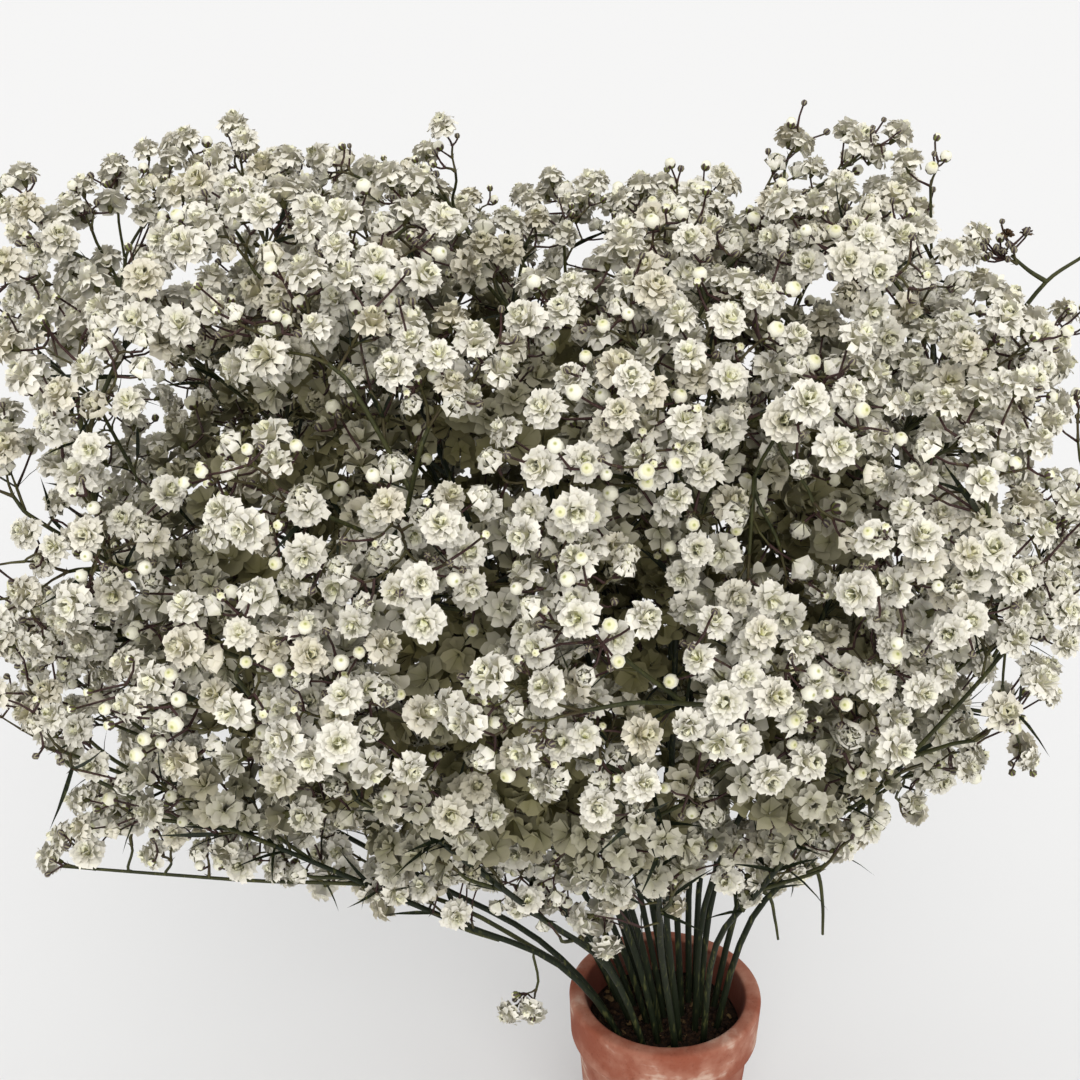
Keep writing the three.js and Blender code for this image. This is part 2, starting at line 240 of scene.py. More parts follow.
@dataclass(frozen=True)
class Crown:
    """The cloud's outer form, and the rule that sets its clumps and buds."""

    centre: Triple = (-45, -16, 238)
    radii: Triple = (147, 112, 106)
    power: float = 3.1
    lumps: float = 0.025
    lump_waves: Triple = (5.1, 4.3, 6.2)
    lump_slant: float = -4.1
    lump_shifts: Pair = (1.3, 0.4)
    outer_share: float = 0.8
    outer_shell: Pair = (0.9, 1)
    inner_shell: Pair = (0.62, 0.84)
    nearest_tip: float = 84
    open_height: float = 80
    open_left: float = 0.4
    open_right: float = 0.98
    open_front: float = 1.25
    open_back: float = 0.62
    thin_spots: tuple[ThinSpot, ...] = spots(
        (-176, -20, 268, 36), (-52, -40, 346, 22), (98, -20, 322, 24))
    clump: float = 14.5
    clumps: int = 190
    clump_spacing: float = 40
    bud: float = 2.4
    buds: int = 28
    bud_spacing: float = 60
    bud_room: float = 4
    spacing_step: float = 0.985
    tries_a_step: int = 500
    gap: float = 0.35
    seed: int = 15

    def reach(self, way: Vector) -> float:
        """How far the cloud reaches from its centre along a direction, with soft lumps.

        Args:
            way: the direction.

        Returns:
            The distance from the centre to the cloud's outer form.
        """
        total = sum(abs(way[i] / self.radii[i]) ** self.power for i in range(3))
        wave_x, wave_y, wave_z = self.lump_waves
        broad = (math.sin(wave_x * way.x + self.lump_shifts[0])
                 * math.sin(wave_y * way.y + self.lump_shifts[1]))
        slanted = math.sin(wave_z * way.z + self.lump_slant * way.x)
        return (1 + self.lumps * (broad + slanted)) / total ** (1 / self.power)

    def open_below(self, place: Vector) -> float:
        """The height under which the cloud is open: a cone out of the pot, steeper at the front.

        Args:
            place: a place, of which only x and y count.

        Returns:
            The height there.
        """
        aside = place.x * (self.open_left if place.x < 0 else self.open_right)
        ahead = place.y * (self.open_front if place.y < 0 else self.open_back)
        return self.open_height + math.hypot(aside, ahead)

    def is_open(self, place: Vector, slack: float = 0) -> bool:
        """Tells whether a place lies where the cloud has no flowers.

        Args:
            place: the place.
            slack: how far into the open parts a place may still lie.

        Returns:
            True in the open cone over the pot and in the thin spots.
        """
        if place.z < self.open_below(place) - slack:
            return True
        return any((place - Vector(spot.place)).length < spot.size - slack for spot in self.thin_spots)

    def draught(self, draws: Draws, apex: Vector) -> Vector | None:
        """Draws one place in the cloud's shell.

        Args:
            draws: the random numbers.
            apex: the fan's apex, which tips keep away from.

        Returns:
            The place, or None where the cloud is open.
        """
        way = draws.way()
        deepest, shallowest = self.outer_shell if draws.number() < self.outer_share else self.inner_shell
        share = draws.number()
        depth = deepest * (1 - share) + shallowest * share
        place = Vector(self.centre) + way * (self.reach(way) * depth)
        if (place - apex).length < self.nearest_tip or self.is_open(place):
            return None
        return place

    def set_tips(self, fan: Fan, sprays: list[Spray]) -> None:
        """Sets the clumps and then the buds in the cloud, as evenly as their numbers allow.

        Args:
            fan: the fan that the sprays belong to.
            sprays: the sprays, which get their tips.
        """
        draws = Draws(self.seed)
        for count, size, room, start in ((self.clumps, self.clump, 0.0, self.clump_spacing),
                                         (self.buds, self.bud, self.bud_room, self.bud_spacing)):
            placed = [tip for spray in sprays for tip in spray.tips]
            wanted = len(placed) + count
            spacing = start
            while len(placed) < wanted:
                for _ in range(self.tries_a_step):
                    if len(placed) == wanted:
                        break
                    self.try_tip(fan, sprays, placed, draws, size, room, spacing)
                spacing *= self.spacing_step

    def try_tip(self, fan: Fan, sprays: list[Spray], placed: list[Tip], draws: Draws,
                size: float, room: float, spacing: float) -> None:
        """Draws a place for one tip and keeps it if it stands clear of the others.

        Args:
            fan: the fan that the sprays belong to.
            sprays: the sprays.
            placed: the tips set so far, which the new one joins.
            draws: the random numbers.
            size: the tip's radius.
            room: what it keeps free beside tips of another size.
            spacing: its distance from tips of its own size.
        """
        place = self.draught(draws, Vector(fan.apex))
        if place is None:
            return
        spray = fan.owner(sprays, place)
        place = fan.seated(place, spray, size + self.gap)
        if place is None:
            return
        for other in placed:
            apart = spacing if other.size == size else other.size + size + room
            if (other.place - place).length < apart:
                return
        tip = Tip(place, size)
        placed.append(tip)
        spray.tips.append(tip)


@dataclass
class Fork:
    """A place on a stem or branch where another may leave."""

    place: Vector
    heading: Vector
    uses: int = 0


@dataclass
class Branch:
    """A branch from a fork to a tip, by way of a knee."""

    fork: Fork
    tip: Tip
    far: float
    knee: Vector
    normal: Vector
    cup: Vector
    cost: float = 0


@dataclass(frozen=True)
class Growth:
    """The rule for a spray's stem and for the branches that reach its tips."""

    bend: float = 48
    stem_steps: tuple[float, ...] = (0, 0.34, 0.68, 1)
    stem_share: float = 0.9
    stem_forks: tuple[float, ...] = (0.25, 0.6, 0.95)
    first_fork: int = 3
    root_depth: float = 18
    cup_share: float = 0.36
    long_branch: float = 30
    shortest_branch: float = 1.3
    bow: float = 0.12
    follow_branch: float = 0.55
    before_knee: float = 0.6
    past_knee: float = 0.25
    fork_angle: float = 68
    turn_power: int = 3
    branch_room: float = 2.6
    crossing_cost: float = 45
    reuse_cost: float = 14
    lower_checks: tuple[float, ...] = (0.4, 0.6, 0.8, 1)
    upper_checks: tuple[float, ...] = (0.25, 0.5, 0.75, 1)

    def stem(self, spray: Spray, apex: Vector) -> list[Vector]:
        """The main stem's places, from the bottom of its hole to the height of its last forks.

        Args:
            spray: the spray.
            apex: the fan's apex.

        Returns:
            The places.
        """
        middle = sum((tip.place for tip in spray.tips), Vector()) / len(spray.tips)
        top = apex.lerp(middle, self.stem_share)
        bend = apex + spray.direction * self.bend
        foot = spray.root - UP * self.root_depth
        return [foot, spray.root, *(bend.lerp(top, share) for share in self.stem_steps)]

    def plan(self, fork: Fork, tip: Tip, centre: Vector) -> Branch:
        """Plans a branch from a fork to a tip.

        Args:
            fork: where it leaves.
            tip: what it carries.
            centre: the cloud's centre, which its tip turns away from.

        Returns:
            The branch, with no cost yet.
        """
        far = (tip.place - fork.place).length
        bow = self.bow * far if far > self.long_branch else 0
        knee = fork.place.lerp(tip.place, 0.5) + fork.heading * bow
        normal = (heading(knee, tip.place) * self.follow_branch
                  + heading(centre, tip.place) * (1 - self.follow_branch)).normalized()
        return Branch(fork, tip, far, knee, normal, tip.place - normal * (self.cup_share * tip.size))

    def tangle(self, branch: Branch, tips: list[Tip], runs: list[tuple[Vector, Vector]]) -> int:
        """Counts the tips and branches that a planned branch would pass through.

        Args:
            branch: the planned branch.
            tips: the spray's tips.
            runs: the straight runs of its stem and branches so far.

        Returns:
            The number of them.
        """
        start, knee, cup = branch.fork.place, branch.knee, branch.cup
        struck = sum(
            other is not branch.tip and (gap_to_run(start, knee, other.place) < other.size
                                         or gap_to_run(knee, cup, other.place) < other.size)
            for other in tips)
        places = [start.lerp(knee, share) for share in self.lower_checks]
        places += [knee.lerp(cup, share) for share in self.upper_checks]
        crossed = sum(any(gap_to_run(*run, place) < self.branch_room for place in places) for run in runs)
        return struck + crossed

    def branches(self, spray: Spray, apex: Vector, centre: Vector) -> list[Branch]:
        """Finds where the branch to each tip leaves best: near by, unused and clear.

        Args:
            spray: the spray.
            apex: the fan's apex.
            centre: the cloud's centre.

        Returns:
            The branches, in the order in which they grow.
        """
        path = self.stem(spray, apex)
        forks: list[Fork] = []
        runs: list[tuple[Vector, Vector]] = []
        for low, high in zip(path[self.first_fork - 1:], path[self.first_fork:]):
            runs.append((low, high))
            forks += [Fork(low.lerp(high, share), heading(low, high)) for share in self.stem_forks]
        grown = []
        for tip in sorted(spray.tips, key=lambda tip: (tip.place - path[-1]).length):
            plans = [self.plan(fork, tip, centre) for fork in forks]
            plans = [branch for branch in plans if branch.far >= self.shortest_branch * tip.size]
            for branch in plans:
                turn = math.degrees(heading(branch.fork.place, tip.place).angle(branch.fork.heading))
                branch.cost = (branch.far * (1 + (turn / self.fork_angle) ** self.turn_power)
                               + self.reuse_cost * branch.fork.uses
                               + self.crossing_cost * self.tangle(branch, spray.tips, runs))
            best = min(plans, key=lambda branch: branch.cost)
            best.fork.uses += 1
            grown.append(best)
            start, knee, cup = best.fork.place, best.knee, best.cup
            forks.append(Fork(knee.lerp(cup, self.past_knee), heading(knee, cup)))
            forks.append(Fork(start.lerp(knee, self.before_knee), heading(start, knee)))
            runs += [(start, knee), (knee, cup)]
        return grown


BLOOM_FOOT = 0.6
BUD_FOOT = 0.92


class Kind(Enum):
    """The stages that a flower may be at, with the least and the greatest radius of each."""

    OPEN = (4.0, 5.3)
    LOOSE = (3.9, 5.0)
    HALF = (2.3, 3.3)
    DEEP = (4.3, 5.6)
    CORE = (4.8, 6.2)
    DRY = (1.8, 2.9)
    BUD = (1.5, 2.1)
    YOUNG = (1.1, 1.45)
    DARK = (0.85, 1.2)

    @property
    def is_bloom(self) -> bool:
        """Whether it has opened."""
        return self not in (Kind.BUD, Kind.YOUNG, Kind.DARK)

    @property
    def foot_depth(self) -> float:
        """How far under its middle its stalk ends, as a share of its radius."""
        return BLOOM_FOOT if self.is_bloom else BUD_FOOT


@dataclass
class Flower:
    """One bloom or bud of the dressed cloud, with its shade from 0 outside to 1 deep inside."""

    kind: Kind
    place: Vector
    axis: Vector
    size: float
    tone: float
    shade: float

    @property
    def foot(self) -> Vector:
        """The place where its stalk ends."""
        return self.place - self.axis * (self.size * self.kind.foot_depth)


class Neighbours:
    """A grid of cells that finds the flowers near a place."""

    OVERLAP = 0.9

    def __init__(self, cell: float) -> None:
        """Starts an empty grid with cells of one size."""
        self.cell = cell
        self.cells: dict[tuple[int, ...], list[Flower]] = {}

    def key(self, place: Vector) -> tuple[int, ...]:
        """The cell that a place lies in."""
        return tuple(math.floor(part / self.cell) for part in place)

    def add(self, flower: Flower) -> None:
        """Adds a flower."""
        self.cells.setdefault(self.key(flower.place), []).append(flower)

    def clear(self, flower: Flower, spacing: float) -> bool:
        """Tells whether a flower keeps its distance from every other.

        Args:
            flower: the flower.
            spacing: the distance between two blooms; buds only keep clear of what they would touch.

        Returns:
            True where nothing is too near.
        """
        x, y, z = self.key(flower.place)
        near = (self.cells.get((x + i, y + j, z + k), ())
                for i in (-1, 0, 1) for j in (-1, 0, 1) for k in (-1, 0, 1))
        for cell in near:
            for other in cell:
                both = flower.kind.is_bloom and other.kind.is_bloom
                apart = spacing if both else self.OVERLAP * (flower.size + other.size)
                if (other.place - flower.place).length < apart:
                    return False
        return True


@dataclass
class Twig:
    """A place on a stem where flowers grow, in a lens-shaped space ahead of it."""

    hub: Vector
    way: Vector
    middle: Vector
    normal: Vector
    radius: float
    height: float
    free: bool = False
    flowers: list[Flower] = field(default_factory=list)


Mix = tuple[tuple[Kind, float], ...]
BLOOMS: Mix = ((Kind.OPEN, 0.6), (Kind.LOOSE, 0.2), (Kind.HALF, 0.2))
BUDS: Mix = ((Kind.BUD, 0.38), (Kind.YOUNG, 0.26), (Kind.DARK, 0.36))
DRY_SEEDS: Mix = ((Kind.DRY, 0.7), (Kind.DARK, 0.3))


@dataclass(frozen=True)
class Wisp:
    """A sprig that stands out of the cloud's form, where the photo shows one."""

    place: Triple
    blooms: int = 2
    buds: int = 4
    length: float = 26
    radius: float = 8
    kinds: Mix = BLOOMS


def sprigs(*rows: tuple[float, ...]) -> tuple[Wisp, ...]:
    """Sprigs from rows of a place, the number of blooms and of buds, and at times a length and radius."""
    return tuple(Wisp(row[:3], *row[3:]) for row in rows)


@dataclass(frozen=True)
class Wisps:
    """The listed sprigs round the cloud's outline and in its hollows, and the listed stems."""

    upper_left: tuple[Wisp, ...] = sprigs(
        (-181, 0, 337, 4, 5), (-173, -10, 329, 5, 4), (-175, -30, 322, 4, 4), (-166, 10, 333, 4, 4),
        (-158, 18, 337, 3, 5), (-150, 28, 335, 5, 4), (-139, 38, 338, 5, 5), (-126, 24, 343, 4, 3),
        (-114, 40, 337, 1, 6), (-101, 30, 340, 3, 4))
    top_right: tuple[Wisp, ...] = sprigs(
        (33, 40, 346, 1, 4), (27, 38, 338, 3, 3), (46, 28, 343, 4, 4), (52, 20, 349, 1, 5),
        (61, 0, 346, 1, 5), (57, 18, 337, 3, 2))
    top: tuple[Wisp, ...] = sprigs(
        (-66, 10, 348, 1, 4), (-72, 20, 340, 2, 4), (-4, 30, 335, 0, 3, 26, 5), (-14, 30, 329, 2, 4),
        (-30, 34, 325, 1, 5))
    right: tuple[Wisp, ...] = sprigs(
        (96, -16, 306, 1, 3), (104, -10, 304, 2, 2), (97, -38, 290, 2, 3), (98, -10, 186, 1, 3),
        (104, -14, 170, 2, 3, 26, 6), (73, -8, 150, 2, 3))
    lower_left: tuple[Wisp, ...] = sprigs(
        (-182, -45, 155, 1, 2, 12, 5), (-173, -45, 163, 3, 4, 15), (-162, -42, 166, 3, 3, 18),
        (-150, -45, 162, 3, 3, 15), (-139, -45, 156, 2, 2, 12), (-129, -44, 155, 2, 3, 12))
    low_middle: tuple[Wisp, ...] = sprigs(
        (-36, -42, 148, 4, 3), (-20, -36, 135, 5, 3), (-24, -25, 116, 3, 3), (-12, -32, 142, 4, 3),
        (-2, -26, 130, 2, 3))
    front: tuple[Wisp, ...] = sprigs(
        (-3, -104, 294, 4, 2, 30, 11), (8, -100, 282, 4, 2, 30, 11), (-6, -104, 279, 4, 1, 30, 11),
        (16, -98, 269, 4, 2, 30, 11), (5, -102, 268, 4, 2, 30, 11), (22, -98, 281, 4, 2, 30, 11),
        (-14, -106, 307, 4, 1, 30, 11))
    inner: tuple[Wisp, ...] = sprigs(
        (24, 60, 215, 12, 0, 30, 17), (8, 55, 203, 12, 0, 30, 17), (40, 48, 210, 10, 0, 30, 15),
        (-4, 40, 214, 8, 0, 30, 15), (18, 20, 223, 10, 0, 30, 15), (34, 22, 208, 12, 0, 30, 17),
        (52, 30, 190, 9, 0, 30, 15), (-64, 40, 239, 14, 0, 30, 18), (-31, 40, 248, 10, 0, 30, 15),
        (50, 20, 118, 6, 2, 26, 12), (36, 14, 112, 4, 2, 26, 10))
    stray: tuple[Wisp, ...] = sprigs(
        (-46, -24, 84, 3, 4, 14, 6))
    dry: tuple[Wisp, ...] = (
        Wisp((79, -16, 328), 14, 4, 5, 6.5, DRY_SEEDS), Wisp((35, -50, 330), 7, 3, 18, 7, DRY_SEEDS))
    low_stem: tuple[Triple, ...] = ((-35, -12, 91), (-78, -31, 133), (-130, -42, 146), (-180, -45, 153))
    forked: tuple[Triple, ...] = ((70, -18, 286), (81, -16, 302), (91, -16, 318), (100, -16, 325))
    fork_arm: tuple[Triple, ...] = ((91, -16, 318), (86, -16, 321), (81, -16, 325))
    hanging: tuple[Triple, ...] = ((40, 0, 126), (47, 0, 119), (50, 0, 106), (51, 0, 93))
    hanging_near: tuple[Triple, ...] = ((24, 0, 112), (32, 0, 109), (35, 0, 99), (36.5, 0, 91))
    thin: Pair = (0.9, 0.45)

    @property
    def leafy(self) -> tuple[Wisp, ...]:
        """Every sprig but the dry ones."""
        return (self.upper_left + self.top_right + self.top + self.right + self.lower_left
                + self.low_middle + self.front + self.inner + self.stray)

    @property
    def late_stems(self) -> tuple[tuple[Triple, tuple[Triple, ...]], ...]:
        """The listed stems that carry none of the leafy sprigs, after a place in their spray."""
        return ((self.dry[0].place, self.forked), (self.dry[0].place, self.fork_arm),
                (self.hanging[0], self.hanging), (self.hanging_near[0], self.hanging_near))


@dataclass(frozen=True)
class Shoots:
    """How the ends of the branches and the short shoots along the stems carry their flowers."""

    lens_radius: float = 17.5
    lens_height: float = 12
    hub_depth: float = 12
    hub_share: float = 0.6
    per_stem: int = 9
    per_branch: int = 2
    side_reach: Pair = (12, 20)
    side_radius: float = 13
    side_height: float = 9
    stalk: float = 6
    sideways: float = 1.1
    play: Pair = (0.2, 0.8)

    def end(self, branch: Branch) -> Twig:
        """The twig at a branch's end.

        Args:
            branch: the branch.

        Returns:
            The twig.
        """
        way = heading(branch.knee, branch.cup)
        back = min(self.hub_depth, self.hub_share * (branch.cup - branch.knee).length)
        return Twig(branch.cup - way * back, way, branch.tip.place, branch.normal,
                    self.lens_radius, self.lens_height)

    def sides(self, path: list[Vector], count: int, draws: Draws) -> list[tuple[Vector, Twig]]:
        """Sets short shoots along a path.

        Args:
            path: the stem's or branch's places.
            count: how many shoots.
            draws: the random numbers.

        Returns:
            For each shoot, where it leaves the path, and its twig.
        """
        shoots = []
        for i in range(count):
            share = (i + draws.between(*self.play)) / count * (len(path) - 1)
            low, high = path[int(share)], path[int(share) + 1]
            start = low.lerp(high, share % 1)
            way = (heading(low, high) + draws.way() * self.sideways).normalized()
            hub = start + way * self.stalk
            middle = start + way * draws.between(*self.side_reach)
            shoots.append((start, Twig(hub, way, middle, way, self.side_radius, self.side_height)))
        return shoots


@dataclass(frozen=True)
class Cover:
    """How the flowers cover the cloud: in lenses round the clumps, which meet their neighbours'."""

    crown: Crown
    top_blooms: int = 2350
    side_blooms: int = 1570
    top_buds: int = 1600
    side_buds: int = 300
    spacing: float = 8.2
    sparse: Pair = (-132, 64)
    sparse_share: float = 0.45
    least_height: float = 100
    sunk: float = 0.6
    proud: float = 7
    bud_proud: float = 9.5
    overhang_left: float = 4
    overhang_right: float = -7
    closer: float = 0.96
    bud_lift: float = 1.8
    bud_sunk: float = 0.3
    dim_from: float = 0.38
    core_from: float = 0.72
    bare: tuple[ThinSpot, ...] = spots(
        (-55, 60, 372, 50), (-15, 60, 374, 48), (17, 30, 376, 42), (-62, 14, 396, 69), (-30, 14, 396, 71),
        (2, 14, 396, 68), (-178, 30, 385, 48), (-80, 20, 395, 52), (66, -16, 336, 19), (55, -60, 347, 17),
        (78, 30, 324, 18), (101, -16, 195, 18), (86, -60, 220, 16), (112, 22, 174, 20), (3, -32, 136, 17),
        (16, -16, 128, 16), (-190, 98, 255, 22), (-188, 98, 300, 22), (120, -16, 165, 44),
        (124, -20, 200, 26), (88, -30, 122, 36), (100, -62, 204, 28), (88, -104, 226, 24),
        (-207, -16, 160, 26), (-200, -80, 195, 36), (-176, -104, 214, 26), (-196, -42, 178, 26),
        (-195, -16, 242, 24), (-195, -60, 262, 22), (-172, -60, 264, 18), (-160, -100, 284, 16),
        (-198, 20, 230, 20), (-157, -16, 330, 16), (-145, -60, 342, 16), (-169, 30, 318, 17),
        (-180, 68, 308, 18), (-158, -16, 295, 16), (-146, -60, 310, 15), (-171, 30, 279, 17),
        (-182, 68, 265, 18))
    shaded_below: float = 0.92
    dark_below: float = 0.56
    outwards: float = 0.5
    upwards: float = 0.25
    ragged: float = 0.42
    cell: float = 1.3
    seed: int = 4021

    def shade(self, place: Vector) -> float:
        """How deep inside the cloud a place lies: 0 outside and 1 where little light reaches.

        Args:
            place: the place.

        Returns:
            The depth, from 0 to 1.
        """
        way = heading(Vector(self.crown.centre), place)
        depth = (place - Vector(self.crown.centre)).length / self.crown.reach(way)
        return min(max((self.shaded_below - depth) / (self.shaded_below - self.dark_below), 0), 1)

    def spot(self, twig: Twig, buds: bool, draws: Draws) -> Vector | None:
        """Draws a place in a twig's lens.

        Args:
            twig: the twig.
            buds: whether it is for a bud, which stands further out.
            draws: the random numbers.

        Returns:
            The place, or None where no flower may stand.
        """
        way = draws.way()
        along = way.dot(twig.normal)
        flat = way - twig.normal * along
        out = draws.number() ** (1 / 3)
        rise, sink = (self.bud_lift, self.bud_sunk) if buds and not twig.free else (1, self.sunk)
        height = along * twig.height * (rise if along > 0 else sink)
        place = twig.middle + (flat * twig.radius + twig.normal * height) * out
        if twig.free:
            return place
        centre = Vector(self.crown.centre)
        limit = self.crown.reach(heading(centre, place)) + (self.bud_proud if buds else self.proud)
        outside = (place - centre).length > limit or place.z < self.least_height
        overhang = self.overhang_left if place.x < 0 else self.overhang_right
        if outside or self.crown.is_open(place, slack=overhang):
            return None
        left, right = self.sparse
        if not left < place.x < right and draws.number() < self.sparse_share:
            return None
        bare = any((place - Vector(spot.place)).length < spot.size for spot in self.bare)
        return None if bare else place

    def flower(self, kind: Kind, twig: Twig, place: Vector, draws: Draws) -> Flower:
        """Makes one flower, turned outwards and a little up.

        Args:
            kind: its stage.
            twig: the twig that carries it.
            place: its middle.
            draws: the random numbers.

        Returns:
            The flower.
        """
        axis = (heading(twig.hub, place) + heading(Vector(self.crown.centre), place) * self.outwards
                + UP * self.upwards + draws.way() * self.ragged).normalized()
        shade = self.shade(place)
        if kind.is_bloom and kind is not Kind.DRY:
            if shade > self.core_from:
                kind = Kind.CORE
            elif shade > self.dim_from and kind is not Kind.HALF:
                kind = Kind.DEEP
        return Flower(kind, place, axis, draws.between(*kind.value), draws.number(), shade)

    def strew(self, twigs: list[Twig], near: Neighbours, count: int, kinds: Mix, draws: Draws) -> None:
        """Sets flowers on twigs, as far apart as their number allows.

        Args:
            twigs: the twigs, which get their flowers.
            near: the flowers set so far.
            count: how many flowers.
            kinds: the share of each stage.
            draws: the random numbers.
        """
        spacing = self.spacing
        placed = 0
        while placed < count:
            for _ in range(count):
                if placed == count:
                    break
                twig = draws.pick(twigs)
                share = draws.number()
                place = self.spot(twig, kinds is BUDS, draws)
                if place is None:
                    continue
                kind = next((kind for kind, part in kinds if (share := share - part) < 0), kinds[0][0])
                flower = self.flower(kind, twig, place, draws)
                if near.clear(flower, spacing):
                    near.add(flower)
                    twig.flowers.append(flower)
                    placed += 1
            spacing *= self.closer

    def dress(self, tops: list[Twig], sides: list[Twig], wisps: list[tuple[Wisp, Twig]]) -> None:
        """Sets every bloom and bud.

        Args:
            tops: the twigs at the branches' ends.
            sides: the twigs along the stems and branches.
            wisps: the sprigs beyond the cloud's form, with their twigs.
        """
        draws = Draws(self.seed)
        near = Neighbours(self.cell * self.spacing)
        for wisp, twig in wisps:
            self.strew([twig], near, wisp.blooms, wisp.kinds, draws)
            self.strew([twig], near, wisp.buds, BUDS, draws)
        self.strew(tops, near, self.top_blooms, BLOOMS, draws)
        self.strew(sides, near, self.side_blooms, BLOOMS, draws)
        self.strew(tops, near, self.top_buds, BUDS, draws)
        self.strew(sides, near, self.side_buds, BUDS, draws)


class Level(Enum):
    """The levels of branching: the tubes' sides, their points, and their hue from green to purple."""

    STEM = (8, 9, 0.0)
    BRANCH = (6, 7, 0.3)
    TWIG = (4, 3, 0.65)
    STALK = (3, 3, 1.0)

    def __init__(self, sides: int, points: int, hue: float) -> None:
        """Names the values of a level.

        Args:
            sides: the sides of a tube.
            points: the points of a curved stretch.
            hue: 0 for green and 1 for purple.
        """
        self.sides = sides
        self.points = points
        self.hue = hue


@dataclass
class Limb:
    """One smooth stretch of stem, with the twig at its end where it carries one."""

    level: Level
    path: list[Vector]
    radii: list[float]
    twig: Twig | None = None


def smooth_path(places: Sequence[Vector], steps: int) -> list[Vector]:
    """Rounds a run of places into a smooth path through them.

    Args:
        places: the places.
        steps: the pieces between two places.

    Returns:
        The path's points.
    """
    last = len(places) - 1
    ways = [heading(places[max(i - 1, 0)], places[min(i + 1, last)]) for i in range(last + 1)]
    path = [places[0].copy()]
    for (low, high), (leave, arrive) in zip(zip(places, places[1:]), zip(ways, ways[1:])):
        reach = (high - low).length / 3
        path += interpolate_bezier(low, low + leave * reach, high - arrive * reach, high, steps + 1)[1:]
    return path


def taper(start: float, end: float, count: int) -> list[float]:
    """Radii that shrink evenly from one to another."""
    return [start + (end - start) * i / (count - 1) for i in range(count)]


def as_mesh(name: str, making: bmesh.types.BMesh) -> bpy.types.Mesh:
    """Turns a mesh in the making into a finished one.

    Args:
        name: its name.
        making: the mesh in the making, which is freed.

    Returns:
        The mesh.
    """
    made = bpy.data.meshes.new(name)
    making.to_mesh(made)
    making.free()
    return made


def as_object(name: str, data: bpy.types.ID) -> bpy.types.Object:
    """Puts a mesh, curve, light or camera into the scene.

    Args:
        name: the object's name.
        data: what it shows.

    Returns:
        The object, at the origin.
    """
    made = bpy.data.objects.new(name, data)
    bpy.context.scene.collection.objects.link(made)
    return made


def as_built(thing: bpy.types.Object) -> bpy.types.Mesh:
    """A new mesh of an object, with its bevel or modifiers worked out."""
    return bpy.data.meshes.new_from_object(thing.evaluated_get(bpy.context.evaluated_depsgraph_get()))


def empty_mesh(layers: Iterable[str]) -> bmesh.types.BMesh:
    """Starts a mesh with its UV map, its soft normals and float layers on its vertices.

    Args:
        layers: the names of the float layers.

    Returns:
        The mesh in the making.
    """
    mesh = bmesh.new()
    mesh.loops.layers.uv.new("sheet")
    mesh.verts.layers.float_vector.new("soft")
    for layer in layers:
        mesh.verts.layers.float.new(layer)
    return mesh


class Template:
    """A small mesh that is copied many times, built with its middle at the origin."""

    def __init__(self, name: str, layers: Iterable[str]) -> None:
        """Starts an empty template with float layers on its vertices."""
        self.name = name
        self.mesh = empty_mesh(layers)

    def finish(self) -> bpy.types.Mesh:
        """Turns the template into a mesh."""
        return as_mesh(self.name, self.mesh)


class Outline(Enum):
    """Outlines of a petal, from its notched tip to its base: half-widths and shares of the length."""

    PLAIN = ((0.0, 0.93), (0.68, 0.98), (1.0, 0.5), (0.0, 0.0))
    SMALL = ((0.0, 0.99), (0.66, 0.94), (1.0, 0.58), (0.0, 0.0))

    @property
    def has_rib(self) -> bool:
        """Whether the petal is bent along its middle as well as at its edges."""
        return self is not Outline.SMALL


@dataclass(frozen=True)
class Whorl:
    """One ring of petals: radius and height are shares of the bloom's radius."""

    count: int
    tip: Pair
    middle: Pair
    width: float
    cream: float = 0
    outline: Outline = Outline.SMALL


